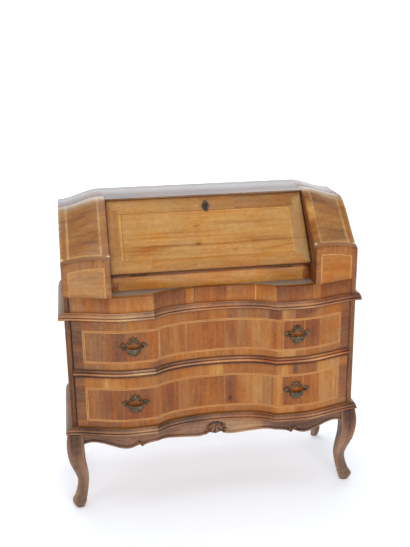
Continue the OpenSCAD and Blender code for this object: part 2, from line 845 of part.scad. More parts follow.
module upper_drawer_back() drawer_back(mid_top, upper_opening_h);
module upper_drawer_bottom() drawer_bottom(mid_top);
module lower_drawer_front() drawer_front(bottom_top, lower_opening_h);
module lower_drawer_side_left() drawer_side(bottom_top, lower_opening_h, -1);
module lower_drawer_side_right() drawer_side(bottom_top, lower_opening_h, 1);
module lower_drawer_back() drawer_back(bottom_top, lower_opening_h);
module lower_drawer_bottom() drawer_bottom(bottom_top);

// Pulls

// Hinge line of the pulls, just below the middle of each drawer
function pull_z(z, opening_h) = z + opening_h / 2 - 3.5;
plate_back = back_y - lobe_depth - seat;
pivot_y = plate_back - plate_t - pivot_out;
lug_w = 6;
lug_h = 7;
lug_past = 3;
lug_gap = 3;
pin_half = 1.6;
pin_play = 0.3;
pin_len = 9.5;
lug_x = pull_half + lug_gap + lug_w / 2;

// The pierced plate is a ring with a crown of leaves above and three leaves at each lug
ring_past = 2;
ring_h = 17;
ring_band = 5.5;
ring_up = 1;
crown_up = 13;
crown_len = 13;
crown_top_len = 16.5;
crown_w = 7;
wing_in = 3;
wing_up = 2;
wing_len = 18;
wing_w = 8;
upper_wing_len = 14;
upper_wing_w = 7;
lower_wing_len = 11;
lower_wing_w = 6;

// A pointed leaf from the origin towards +X
module leaf(length, width) {
    half = [for (i = [0 : 10]) let (t = i / 10) width / 2 * pow(sin(180 * pow(t, 0.8)), 0.8)];
    polygon(concat([for (i = [0 : 10]) [length * i / 10, half[i]]],
                   [for (i = [9 : -1 : 1]) [length * i / 10, -half[i]]]));
}
module ring(outer_w, outer_h, band) {
    difference() {
        polygon([for (i = [0 : 47]) [outer_w * cos(7.5 * i), outer_h * sin(7.5 * i)]]);
        polygon([for (i = [0 : 47]) [(outer_w - band) * cos(7.5 * i), (outer_h - band) * sin(7.5 * i)]]);
    }
}
module plate_outline() {
    translate([0, ring_up])
        ring(lug_x + ring_past, ring_h, ring_band);
    for (a = [30, 60, 90, 120, 150])
        translate([4 * cos(a), crown_up + 2 * sin(a)])
            rotate(a)
                leaf(a == 90 ? crown_top_len : crown_len, crown_w);
    for (side = [0, 1])
        mirror([side, 0])
            translate([lug_x - wing_in, wing_up]) {
                rotate(38)
                    leaf(upper_wing_len, upper_wing_w);
                rotate(4)
                    leaf(wing_len, wing_w);
                rotate(-34)
                    leaf(lower_wing_len, lower_wing_w);
            }
}
module pull_plate() {
    translate([0, plate_back, 0])
        rotate([90, 0, 0])
            linear_extrude(plate_t)
                plate_outline();
    for (side = [-1, 1])
        translate([side * lug_x, 0, 0])
            difference() {
                translate([-lug_w / 2, pivot_y - lug_past, -lug_h / 2])
                    cube([lug_w, plate_back - pivot_y + lug_past - plate_t / 2, lug_h]);
                translate([0, pivot_y, 0])
                    rotate([0, 90, 0])
                        cylinder(r = pin_half + pin_play, h = lug_w + 2, center = true);
            }
}
module pull_plates(z, opening_h) {
    color(bronze)
        for (side = [-1, 1])
            translate([side * pull_x, 0, pull_z(z, opening_h)])
                pull_plate();
}
module upper_pull_plates() pull_plates(mid_top, upper_opening_h);
module lower_pull_plates() pull_plates(bottom_top, lower_opening_h);

// Bail: a hanging crescent, thick at the bottom, with a pin at each end
bail_steps = 18;
bail_corners = 12;
function bail_ring(a) =
    let (tall = 2.2 + (bail_tall - 2.2) * pow(sin(a), 1.3),
         thick = 2 + (bail_out - 2) * sin(a),
         centre = [pull_half * cos(a), 0, -bail_drop * sin(a)],
         out = [cos(a), 0, -sin(a)])
    [for (j = [0 : bail_corners - 1]) let (b = 360 * j / bail_corners)
        centre + tall * cos(b) * out + [0, thick * sin(b), 0]];
module bail(side, z, opening_h) {
    color(bronze)
        translate([side * pull_x, pivot_y, pull_z(z, opening_h)]) {
            loft([for (i = [0 : bail_steps]) bail_ring(180 * i / bail_steps)]);
            for (end = [-1, 1])
                translate([end * (lug_x - 1.5), 0, 0])
                    rotate([0, 90, 0])
                        cylinder(r = pin_half, h = pin_len, center = true);
        }
}
module upper_bail_left() bail(-1, mid_top, upper_opening_h);
module upper_bail_right() bail(1, mid_top, upper_opening_h);
module lower_bail_left() bail(-1, bottom_top, lower_opening_h);
module lower_bail_right() bail(1, bottom_top, lower_opening_h);

leg_front_left();
leg_front_right();
leg_rear_left();
leg_rear_right();
apron_front();
apron_left();
apron_right();
apron_rear();
base_moulding_front();
base_moulding_sides();
bottom_board();
side_panel_left();
side_panel_right();
back_panel();
dust_board();
mid_moulding();
frieze_band();
kicker_rails();
waist_moulding_front();
waist_moulding_sides();
ledge_board();
partition_left();
partition_right();
shoulder_front_left();
shoulder_front_right();
shoulder_slope_left();
shoulder_slope_right();
top_board();
fall_rail();
writing_bed();
gallery_shelf();
gallery_dividers();
gallery_drawer_left();
gallery_drawer_right();
gallery_knob_left();
gallery_knob_right();
fall_front();
fall_escutcheon();
fall_lock();
lock_bolt();
hinge_case_leaves();
hinge_fall_leaves();
loper_left();
loper_right();
upper_drawer_front();
upper_drawer_side_left();
upper_drawer_side_right();
upper_drawer_back();
upper_drawer_bottom();
upper_pull_plates();
lower_drawer_front();
lower_drawer_side_left();
lower_drawer_side_right();
lower_drawer_back();
lower_drawer_bottom();
lower_pull_plates();
upper_bail_left();
upper_bail_right();
lower_bail_left();
lower_bail_right();
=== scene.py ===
"""Slant-front desk: veneers, mouldings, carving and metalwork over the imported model.
Drawings are in millimetres, meshes in metres; +X is the desk's right and +Y its back."""
from math import atan2, ceil, copysign, cos, exp, hypot, pi, radians, sin, sqrt

import bmesh
import bpy
from mathutils import Matrix, Vector


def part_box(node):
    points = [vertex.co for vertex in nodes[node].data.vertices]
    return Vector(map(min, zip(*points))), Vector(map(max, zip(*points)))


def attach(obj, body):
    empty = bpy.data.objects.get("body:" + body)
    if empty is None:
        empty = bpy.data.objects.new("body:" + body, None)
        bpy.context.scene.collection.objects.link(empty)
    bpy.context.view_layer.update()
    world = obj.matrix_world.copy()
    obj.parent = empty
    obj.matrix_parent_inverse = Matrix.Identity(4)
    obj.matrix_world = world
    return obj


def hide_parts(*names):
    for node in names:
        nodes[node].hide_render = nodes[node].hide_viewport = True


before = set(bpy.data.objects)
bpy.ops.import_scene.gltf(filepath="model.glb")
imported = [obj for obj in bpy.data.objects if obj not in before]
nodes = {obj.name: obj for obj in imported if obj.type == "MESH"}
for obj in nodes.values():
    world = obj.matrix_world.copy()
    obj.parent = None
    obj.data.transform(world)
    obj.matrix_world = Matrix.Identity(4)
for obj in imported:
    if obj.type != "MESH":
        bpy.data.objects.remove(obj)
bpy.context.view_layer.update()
scene = bpy.context.scene
MM = 0.001


def ease(t):
    """Smooth step: 0 below 0, 1 above 1."""
    t = min(1, max(0, t))
    return t * t * (3 - 2 * t)


def hill(*axes):
    """Bell of height 1. Each axis gives the place, the middle and the width."""
    return exp(-sum(((place - middle) / width) ** 2 for place, middle, width in axes))


def polar(angle, wide=1.0, tall=None):
    """Place on a circle or an ellipse, for an angle in degrees."""
    a = radians(angle)
    return wide * cos(a), (wide if tall is None else tall) * sin(a)


def steps(low, high, count):
    return [low + (high - low) * i / count for i in range(count + 1)]


# Camera, light and floor. The camera was worked out from the lines of the photo.

CAMERA_TURN = (17.54, 9.36, -0.82)
CAMERA_PLACE = (-0.401, -2.40915, 1.488)
LENS, SENSOR = 52.93, 36
SKY_LIGHT = 0.42
LAMPS = [
    ("overhead", (-0.2, 0.2, 3.4), 0.5, (2.6, 2.0), 30),
    ("front_fill", (0.3, -4.2, 2.1), 0.6, (3.4, 1.8), 108),
    ("crest_light", (0.1, 2.6, 3.0), 0.9, (3.2, 1.0), 14),
    ("left_bank", (-2.8, -1.8, 1.4), 0.5, (1.2, 2.0), 11)]
FLOOR_SIDE, FLOOR_FRONT, FLOOR_BACK = 12, -8, 3.6
SHADE_MIDDLE, SHADE_REACH = (0, 0.14, 0), (0.75, 0.45, 1)
SHADE_FROM, SHADE_TO = 0.2, 0.9
PAPER_TINT = (0.95, 0.985, 1.05)
GLOW_TINT = (0.93, 0.97, 1, 1)


def place_camera():
    """Camera at its place, turned by pitch (down), yaw and roll."""
    pitch, yaw, roll = (radians(a) for a in CAMERA_TURN)
    ahead = Vector((sin(yaw) * cos(pitch), cos(yaw) * cos(pitch), -sin(pitch)))
    level = Vector((cos(yaw), -sin(yaw), 0))
    above = level.cross(ahead)
    right = level * cos(roll) + above * sin(roll)
    up = above * cos(roll) - level * sin(roll)
    data = bpy.data.cameras.new("camera")
    data.sensor_width = SENSOR
    data.lens = LENS
    camera = bpy.data.objects.new("camera", data)
    turn = Matrix((right, up, -ahead)).transposed().to_4x4()
    camera.matrix_world = Matrix.Translation(CAMERA_PLACE) @ turn
    scene.collection.objects.link(camera)
    scene.camera = camera


def light_studio():
    """Even white sky and large soft lamps that point at the middle of the desk."""
    world = bpy.data.worlds.new("studio")
    world.use_nodes = True
    sky = world.node_tree.nodes["Background"]
    sky.inputs["Color"].default_value = (1, 1, 1, 1)
    sky.inputs["Strength"].default_value = SKY_LIGHT
    scene.world = world
    for name, place, target_height, size, power in LAMPS:
        data = bpy.data.lights.new(name, "AREA")
        data.shape = "RECTANGLE"
        data.size, data.size_y = size
        data.energy = power
        lamp = bpy.data.objects.new(name, data)
        lamp.location = place
        toward = Vector((0, 0, target_height)) - Vector(place)
        lamp.rotation_euler = toward.to_track_quat("-Z", "Y").to_euler()
        scene.collection.objects.link(lamp)
    scene.view_settings.view_transform = "Standard"
    scene.view_settings.look = "None"


def feed(tree, node, inputs):
    """Gives a node's sockets plain values, or links from the sockets of other nodes."""
    for socket, source in inputs.items():
        if isinstance(source, bpy.types.NodeSocket):
            tree.links.new(source, node.inputs[socket])
        else:
            node.inputs[socket].default_value = source


def add_node(tree, kind, inputs=None, **settings):
    node = tree.nodes.new(kind)
    for name, value in settings.items():
        setattr(node, name, value)
    feed(tree, node, inputs or {})
    return node


def paper(name, white, glow, shaded):
    """Plain studio paper that also gives off some light, as a lit sweep does. Below the
    desk its glow is lowered by the share shaded, a painted shadow."""
    sheet = bpy.data.materials.new(name)
    sheet.use_nodes = True
    tree = sheet.node_tree
    tree.nodes.clear()
    place = add_node(tree, "ShaderNodeTexCoord").outputs["Object"]
    around = add_node(tree, "ShaderNodeMapping", {
        "Vector": place, "Location": SHADE_MIDDLE, "Scale": SHADE_REACH}, vector_type="TEXTURE")
    away = add_node(tree, "ShaderNodeVectorMath", {0: around.outputs[0]}, operation="LENGTH")
    fade = add_node(tree, "ShaderNodeMapRange", {
        "Value": away.outputs["Value"], "From Min": SHADE_FROM, "From Max": SHADE_TO,
        "To Min": glow * (1 - shaded), "To Max": glow}, interpolation_type="SMOOTHSTEP")
    matt = add_node(tree, "ShaderNodeBsdfDiffuse", {"Color": (*(white * part for part in PAPER_TINT), 1)})
    lamp = add_node(tree, "ShaderNodeEmission", {"Color": GLOW_TINT, "Strength": fade.outputs["Result"]})
    both = add_node(tree, "ShaderNodeAddShader", {0: matt.outputs[0], 1: lamp.outputs[0]})
    add_node(tree, "ShaderNodeOutputMaterial", {"Surface": both.outputs[0]})
    return sheet


def lay_floor():
    """Pale floor, and behind it a bright backdrop that the polished top mirrors."""
    for name, near, far, white, glow, shaded in (
            ("studio_floor", (FLOOR_FRONT, 0), (FLOOR_BACK, 0), 0.90, 0.27, 0.42),
            ("studio_backdrop", (FLOOR_BACK, 0), (FLOOR_BACK + 0.8, 5), 0.5, 1.25, 0)):
        mesh = bpy.data.meshes.new(name)
        left, right = -FLOOR_SIDE, FLOOR_SIDE
        corners = [(left, *near), (right, *near), (right, *far), (left, *far)]
        mesh.from_pydata(corners, [], [(0, 1, 2, 3)])
        mesh.materials.append(paper(name + "_paper", white, glow, shaded))
        sheet = bpy.data.objects.new(name, mesh)
        scene.collection.objects.link(sheet)


# Finishes

class Bench:
    """Node tree of one finish, with short calls for the nodes that it needs."""

    def __init__(self, name):
        self.material = bpy.data.materials.new(name)
        self.material.use_nodes = True
        self.tree = self.material.node_tree
        self.shader = self.tree.nodes["Principled BSDF"]

    def add(self, kind, inputs=None, **settings):
        return add_node(self.tree, kind, inputs, **settings)

    def coat(self, inputs):
        feed(self.tree, self.shader, inputs)

    def calc(self, kind, *sources):
        return self.add("ShaderNodeMath", dict(enumerate(sources)), operation=kind).outputs[0]

    def noise(self, vector, scale, detail=3.0, rough=0.5, warp=0.0):
        return self.add("ShaderNodeTexNoise", {
            "Vector": vector, "Scale": scale, "Detail": detail, "Roughness": rough,
            "Distortion": warp}).outputs["Fac"]

    def stretch(self, vector, axis, share, shift=(0, 0, 0)):
        """Vector that draws a pattern out along one axis."""
        scale = tuple(share if name == axis else 1 for name in "XYZ")
        return self.add("ShaderNodeMapping", {
            "Vector": vector, "Scale": scale, "Location": shift}).outputs[0]

    def ramp(self, source, stops):
        node = self.add("ShaderNodeValToRGB", {0: source})
        line = node.color_ramp
        while len(line.elements) < len(stops):
            line.elements.new(0.5)
        for mark, (place, colour) in zip(line.elements, stops):
            mark.position = place
            mark.color = (*colour, 1)
        return node.outputs[0]

    def remap(self, source, low, high, new_low=0.0, new_high=1.0):
        return self.add("ShaderNodeMapRange", {
            "Value": source, "From Min": low, "From Max": high, "To Min": new_low,
            "To Max": new_high}).outputs["Result"]

    def dent(self, height, strength, depth):
        bump = self.add("ShaderNodeBump", {"Strength": strength, "Distance": depth, "Height": height})
        self.coat({"Normal": bump.outputs[0]})

    def object_place(self):
        return self.add("ShaderNodeTexCoord").outputs["Object"]

    def map_of(self, name):
        return self.add("ShaderNodeUVMap", uv_map=name).outputs[0]

    def split(self, vector):
        return self.add("ShaderNodeSeparateXYZ", {0: vector}).outputs


def srgb(red, green, blue):
    def line(v):
        v /= 255
        return v / 12.92 if v <= 0.04045 else ((v + 0.055) / 1.055) ** 2.4
    return (line(red), line(green), line(blue))


WALNUT_STOPS = [
    (0.00, srgb(40, 19, 8)), (0.18, srgb(84, 44, 17)), (0.36, srgb(124, 70, 28)),
    (0.54, srgb(156, 95, 37)), (0.72, srgb(180, 121, 53)), (0.88, srgb(200, 148, 78)),
    (1.00, srgb(216, 172, 106))]
BOXWOOD_STOPS = [(0.30, srgb(150, 98, 46)), (0.5, srgb(180, 126, 66)), (0.72, srgb(198, 147, 84))]
PALE_STOPS = [(0.30, srgb(120, 86, 56)), (0.55, srgb(150, 113, 76)), (0.80, srgb(172, 137, 98))]
HUE_PER_WARMTH, SATURATION_PER_WARMTH = -0.015, 0.14


def walnut(name, along=None, tone=0.5, warmth=0.0, streak=0.20, figure=0.17, polish=0.24, sheen=0.42,
           hue=0.502, rich=0.97, wear_and_painted_light=None):
    """Polished walnut. With no direction it reads the grain and tone maps of a veneered
    piece; otherwise it reads Object coordinates with the grain along X, Y or Z. The board
    function gives the socket with the worn places and the painted light and shade of one board."""
    bench = Bench(name)
    if along is None:
        place = bench.map_of("grain")
        marks = bench.split(bench.map_of("tone"))
        tone, warmth = marks[0], marks[1]
    else:
        place = bench.object_place()

    def layer(share, scale, *character, shift=(0, 0, 0)):
        return bench.noise(bench.stretch(place, along or "Y", share, shift), scale, *character)

    fine = layer(0.05, 230, 4, 0.6, 0.3)
    bands = layer(0.10, 58, 4, 0.55, 0.8)
    cloud = layer(0.4, 11, 3, 0.5, 0.6)
    mottle = layer(0.6, 120, 4, 0.7, 0.6)
    fleck = layer(0.7, 380, 3, 0.65, 0.2)
    blush = layer(0.4, 24, 3, 0.55, 0.4, shift=(3.1, 1.7, 0.4))
    pores = bench.remap(layer(0.05, 760, 2, 0.5), 0.60, 0.74)
    rings = bench.add("ShaderNodeTexWave", {
        "Vector": bench.stretch(place, along or "Y", 0.09), "Scale": 17, "Distortion": 7.5, "Detail": 3,
        "Detail Scale": 1.4}).outputs["Fac"]
    value = tone
    for pattern, share in ((fine, streak * 0.5), (bands, streak * 0.6), (cloud, figure * 0.8),
                           (mottle, 0.13), (fleck, 0.13)):
        value = bench.calc("MULTIPLY_ADD", bench.remap(pattern, 0.3, 0.7, -0.5, 0.5), share, value)
    value = bench.calc("MULTIPLY_ADD", bench.remap(rings, 0, 1, -0.5, 0.5), figure * 0.28, value)
    value = bench.calc("MULTIPLY_ADD", pores, -0.14, value)
    if wear_and_painted_light:
        value = bench.calc("ADD", value, wear_and_painted_light(bench, place))
    lean = bench.calc("ADD", bench.remap(blush, 0.3, 0.7, -0.4, 0.4), warmth)
    tint = bench.add("ShaderNodeHueSaturation", {
        "Hue": bench.calc("MULTIPLY_ADD", lean, HUE_PER_WARMTH, hue),
        "Saturation": bench.calc("MULTIPLY_ADD", lean, SATURATION_PER_WARMTH, rich),
        "Color": bench.ramp(value, WALNUT_STOPS)})
    rough = bench.calc("MULTIPLY_ADD", bench.calc("ADD", pores, cloud), 0.14, polish)
    bench.coat({"Base Color": tint.outputs[0], "Roughness": rough, "IOR": 1.5, "Specular IOR Level": sheen})
    bench.dent(bench.calc("MULTIPLY_ADD", pores, -1.0, bench.calc("MULTIPLY", fine, 0.6)), 0.22, 0.0002)
    return bench.material


def stringing_wood(name):
    """Pale boxwood line, with faint grain."""
    bench = Bench(name)
    place = bench.map_of("grain")
    fleck = bench.noise(bench.stretch(place, "Y", 0.06), 260, 4, 0.6)
    value = bench.calc("MULTIPLY_ADD", bench.noise(place, 14, 2), 0.5, bench.calc("MULTIPLY", fleck, 0.5))
    bench.coat({"Base Color": bench.ramp(value, BOXWOOD_STOPS), "Roughness": 0.4})
    bench.dent(fleck, 0.12, 0.0001)
    return bench.material


def pale_wood(name, along):
    """Plain light wood of the drawer boxes and the back."""
    bench = Bench(name)
    place = bench.object_place()
    bands = bench.noise(bench.stretch(place, along, 0.05), 70, 4, 0.55, 0.6)
    fine = bench.noise(bench.stretch(place, along, 0.03), 420, 3, 0.6)
    value = bench.calc("MULTIPLY_ADD", bands, 0.55, bench.calc("MULTIPLY", fine, 0.25))
    value = bench.calc("MULTIPLY_ADD", bench.noise(place, 6, 4), 0.3, value)
    rough = bench.remap(fine, 0.3, 0.7, 0.55, 0.72)
    bench.coat({"Base Color": bench.ramp(value, PALE_STOPS), "Roughness": rough})
    bench.dent(fine, 0.25, 0.0002)
    return bench.material


def metal(name, dark, mid, light, shine, rough, worn=0.5):
    """Metal with patina: dark in the hollows of its noise, lighter where it is rubbed."""
    bench = Bench(name)
    place = bench.object_place()
    cloud = bench.noise(place, 90, 5, 0.6, 0.4)
    grit = bench.noise(place, 700, 3, 0.6)
    value = bench.calc("MULTIPLY_ADD", cloud, 0.75, bench.calc("MULTIPLY", grit, 0.25))
    stops = [(0.34, srgb(*dark)), (worn, srgb(*mid)), (0.68, srgb(*light))]
    bench.coat({"Base Color": bench.ramp(value, stops), "Metallic": shine,
                "Roughness": bench.remap(cloud, 0.3, 0.7, rough + 0.14, rough - 0.08)})
    bench.dent(value, 0.3, 0.0003)
    return bench.material


# Wear, painted light and painted shade of single boards. Each reads the board's places, in metres, and
# gives a change of tone.

def rail_painted_shade(bench, place):
    """Painted shade below the fall front and in the corners beside the cheeks."""
    x, _, z = bench.split(place)
    right, left = bench.remap(x, 0.285, 0.309, 0, -0.55), bench.remap(x, -0.297, -0.309, 0, -0.4)
    under = bench.remap(z, 0.7515, 0.7565, 0, -0.38)
    return bench.calc("ADD", under, bench.calc("ADD", right, left))


def lip_painted_light(bench, place):
    """Painted light on the front edge of the top over the fall front, whose face turns down into shade."""
    _, y, z = bench.split(place)
    return bench.calc("MULTIPLY", bench.remap(z, 0.9692, 0.9680, 0, 0.42), bench.remap(y, 0.022, 0.020))


def stile_wear_and_painted_light(bench, place):
    """Rubbed outer corner of the stiles with a painted highlight on it, a painted shadow line beside the
    drawers, and the wood a little lighter to the right and toward the back.
    """
    x, y, _ = bench.split(place)
    away = bench.calc("ABSOLUTE", x)
    ahead = bench.remap(y, -0.124, -0.132)
    corner = bench.calc("MULTIPLY", bench.remap(away, 0.4498, 0.4514, 0, 0.3), ahead)
    front = bench.calc("ADD", corner, bench.remap(away, 0.4385, 0.4355, 0, -0.20))
    sides = bench.calc("ADD", bench.remap(x, -0.452, 0.452, -0.04, 0.06),
                       bench.remap(y, -0.124, -0.112, 0, 0.13))
    return bench.calc("ADD", front, sides)


VENEER = walnut("walnut_veneer", streak=0.11, figure=0.14, rich=1.0)
MOULDED = walnut("walnut_moulded", streak=0.10, figure=0.14, polish=0.36, sheen=0.30, hue=0.494, rich=0.95)
SOLID = walnut("walnut_solid", streak=0.14, figure=0.18, polish=0.38, sheen=0.28, hue=0.491, rich=0.92)
STAND_X = walnut("walnut_stand_x", "X", 0.34, -0.3)
STAND_Y = walnut("walnut_stand_y", "Y", 0.34, -0.3)
LEG_BEAD = walnut("walnut_leg_bead", "Z", 0.46, -0.9, polish=0.36, sheen=0.3, hue=0.494, rich=0.9)
RAIL = walnut("walnut_rail", "X", 0.68, 0.2, wear_and_painted_light=rail_painted_shade)
RUN_X = walnut("walnut_run_x", "X", 0.62, 0.1)
RUN_Y = walnut("walnut_run_y", "Y", 0.42, 0.2)
RUN_Z = walnut("walnut_run_z", "Z", 0.27, -0.6, polish=0.5, sheen=0.2, rich=0.96, hue=0.496,
               wear_and_painted_light=stile_wear_and_painted_light)
LEDGE_X = walnut("walnut_ledge_x", "X", 0.41, -1.3, rich=0.64)
TOP_WOOD = walnut("walnut_top", "X", 0.22, 0.0, polish=0.16, rich=0.8, wear_and_painted_light=lip_painted_light)
INSIDE_X = walnut("walnut_inside_x", "X", 0.52, 0.1)
INSIDE_Y = walnut("walnut_inside_y", "Y", 0.30, 0.1)
INSIDE_Z = walnut("walnut_inside_z", "Z", 0.52, 0.1)
PALE_X, PALE_Y, PALE_Z = (pale_wood(f"pale_wood_{axis.lower()}", axis) for axis in "XYZ")
STRING = stringing_wood("boxwood_string")
BRONZE = metal("antique_bronze", (48, 36, 22), (88, 70, 46), (134, 110, 84), 0.6, 0.5)
WORN_BRONZE = metal("rubbed_bronze", (54, 42, 28), (84, 70, 50), (118, 100, 78), 0.6, 0.46)
KEY_BRONZE = metal("key_plate_bronze", (30, 25, 20), (74, 61, 50), (132, 114, 96), 0.6, 0.44, 0.52)
HINGE_BRASS = metal("dull_brass", (40, 30, 18), (70, 54, 32), (110, 90, 56), 0.85, 0.5)
BRASS = metal("old_brass", (96, 70, 30), (150, 116, 56), (190, 156, 88), 0.95, 0.34)
STEEL = metal("lock_steel", (62, 58, 54), (110, 106, 100), (158, 154, 148), 0.95, 0.36)


# Shapes shared by the pieces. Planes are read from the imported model; curves repeat its own measures.

def span(node, axis):
    """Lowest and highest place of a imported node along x, y or z, in millimetres."""
    k = "xyz".index(axis)
    return [round(corner[k] / MM, 2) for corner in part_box(node)]


BACK = span("back_panel", "y")[1]
HALF = span("side_panel_right", "x")[1]
FALL_HALF = span("partition_right", "x")[0]
LEDGE = span("ledge_board", "z")[1]
ROOF = 969.99
STAND = span("bottom_board", "z")[0]
BED = span("writing_bed", "z")[1]
WAIST = span("frieze_band", "z")[0]
MID = span("mid_moulding", "z")[0]
CORNER_DEPTH, LOBE_DEPTH, HOLLOW_DEPTH = 323, 367, 318
LOBE_X, BREAK_X, BREAK_FALL = 265, 188, 3
LOBE_END = HALF + 23
ROOF_FLAT, ROOF_FALL = 320, 30
NOSE_RISE, NOSE_FALL, NOSE_SWELL = 116, 20, 7
CREST_IN, CREST_OUT = 166, 128
FALL_LEAN = radians(53.4)
HINGE_Y = BACK - 299
WIDEST = 473


def front_y(x):
    """Serpentine front: hollow in the middle, full at the lobes, drawn in at the corners."""
    x = abs(x)
    if x > LOBE_X:
        turn = pi * min(1, (LOBE_END - x) / (LOBE_END - LOBE_X))
        depth = CORNER_DEPTH + (LOBE_DEPTH - CORNER_DEPTH) * (1 - cos(turn)) / 2
    elif x > BREAK_X:
        depth = LOBE_DEPTH - BREAK_FALL * ((LOBE_X - x) / (LOBE_X - BREAK_X)) ** 2
    else:
        q = x / BREAK_X
        depth = HOLLOW_DEPTH + (LOBE_DEPTH - BREAK_FALL - HOLLOW_DEPTH) * (0.55 * q ** 2 + 0.45 * q ** 5)
    return BACK - depth


def front_out(x):
    """Outward direction of the case front at x, seen from above."""
    slope = front_y(x + 0.5) - front_y(x - 0.5)
    size = hypot(1, slope)
    return slope / size, -1 / size


def roof_z(x):
    return ROOF - ROOF_FALL * ease((abs(x) - ROOF_FLAT) / (HALF - ROOF_FLAT))


def across(x):
    """Share of the way from the fall front to the side of the desk."""
    return (abs(x) - FALL_HALF) / (HALF - FALL_HALF)


def shoulder_z(x, y):
    """Ogee of a shoulder: from its nose over the front up to its crest."""
    nose = LEDGE + NOSE_RISE - NOSE_FALL * across(x) + NOSE_SWELL * sin(pi * across(x))
    crest = BACK - CREST_IN + (CREST_IN - CREST_OUT) * across(x)
    u = min(1, max(0, (y - front_y(x)) / (crest - front_y(x))))
    pitch = 0.12 + 0.4 * across(x)
    rise = pitch * u * (1 - u) ** 2 + u * u * (3 - 2 * u) - 0.1 * u * u * (u - 1)
    return nose + (roof_z(x) - nose) * rise


def in_fall(x, s, n):
    """Place in the closed fall front: x along the hinge, s up the slope, n outwards."""
    c, d = cos(FALL_LEAN), sin(FALL_LEAN)
    return (x, HINGE_Y + s * c - n * d, BED + s * d + n * c)


def spline(rows, t, column):
    """Smooth curve through one column of a table, t counting its rows."""
    last = len(rows) - 1
    k = min(int(t), last - 1)
    f = t - k
    a, b = rows[max(k - 1, 0)][column], rows[k][column]
    c, d = rows[k + 1][column], rows[min(k + 2, last)][column]
    return b + f * ((c - a) / 2 + f * ((2 * a - 5 * b + 4 * c - d) / 2 + f * (3 * b - a - 3 * c + d) / 2))


def cut_lines(marks, gap):
    """Marks in order, with lines between them so that no gap is wider than asked."""
    marks = sorted(marks)
    kept = [marks[0]]
    for mark in marks[1:]:
        start = kept[-1]
        if mark - start < 0.6:
            continue
        count = max(1, ceil((mark - start) / gap - 1e-6))
        kept += [start + (mark - start) * i / count for i in range(1, count + 1)]
    return kept


def new_object(name, mesh, materials=()):
    for material in materials:
        mesh.materials.append(material)
    piece = bpy.data.objects.new(name, mesh)
    scene.collection.objects.link(piece)
    return piece


def soften(mesh, angle=32):
    for face in mesh.polygons:
        face.use_smooth = True
    mesh.set_sharp_from_angle(angle=radians(angle))


def settle(bm, name, materials, angle=32):
    """Mesh code's result as a finished object."""
    for vert in bm.verts:
        vert.co *= MM
    mesh = bpy.data.meshes.new(name)
    bm.to_mesh(mesh)
    bm.free()
    soften(mesh, angle)
    return new_object(name, mesh, materials)


def join_as(name, finish, pieces):
    """One mesh in place of several pieces."""
    bm = bmesh.new()
    for piece in pieces:
        bm.from_mesh(piece.data)
    for piece in pieces:
        bpy.data.objects.remove(piece)
    for vert in bm.verts:
        vert.co /= MM
    return settle(bm, name, [finish], 60)


def make_plain(piece):
    """Plain mesh of a piece with its modifiers carried out, which are then dropped."""
    shown = bpy.context.evaluated_depsgraph_get()
    mesh = bpy.data.meshes.new_from_object(piece.evaluated_get(shown))
    piece.modifiers.clear()
    piece.data = mesh


def hand_in(piece, body, slot, *replaced):
    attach(piece, body)
    if replaced:
        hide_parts(*replaced)


def round_rim(bm, width, least=50):
    """Rounds all edges that are sharper than least degrees."""
    sharp = [e for e in bm.edges if len(e.link_faces) == 2
             and e.calc_face_angle(0) > radians(least)]
    bmesh.ops.bevel(bm, geom=sharp, offset=width, segments=2, profile=0.6, affect="EDGES",
                    clamp_overlap=True)


# Veneered boards. A leaf is (kind, tone, warmth, grain turn, number): kind 0 is walnut and
# 1 is string, the turn is in degrees from the board's second direction, and the number
# picks another part of the figure.

RIM_WIDTH = 15
# Reach of the darkening along board edges: partly dirt, partly painted shade of the gaps between parts.
DIRT_AND_SHADE_REACH = 4
TURN_SHIFT, RUN_SHIFT = 0.173, 0.619


def ring_of(columns, rows):
    """Edges round a grid, as pairs of (row, column)."""
    return ([((0, i), (0, i + 1)) for i in range(columns)]
            + [((j, columns), (j + 1, columns)) for j in range(rows)]
            + [((rows, i + 1), (rows, i)) for i in range(columns)]
            + [((j + 1, 0), (j, 0)) for j in range(rows)])


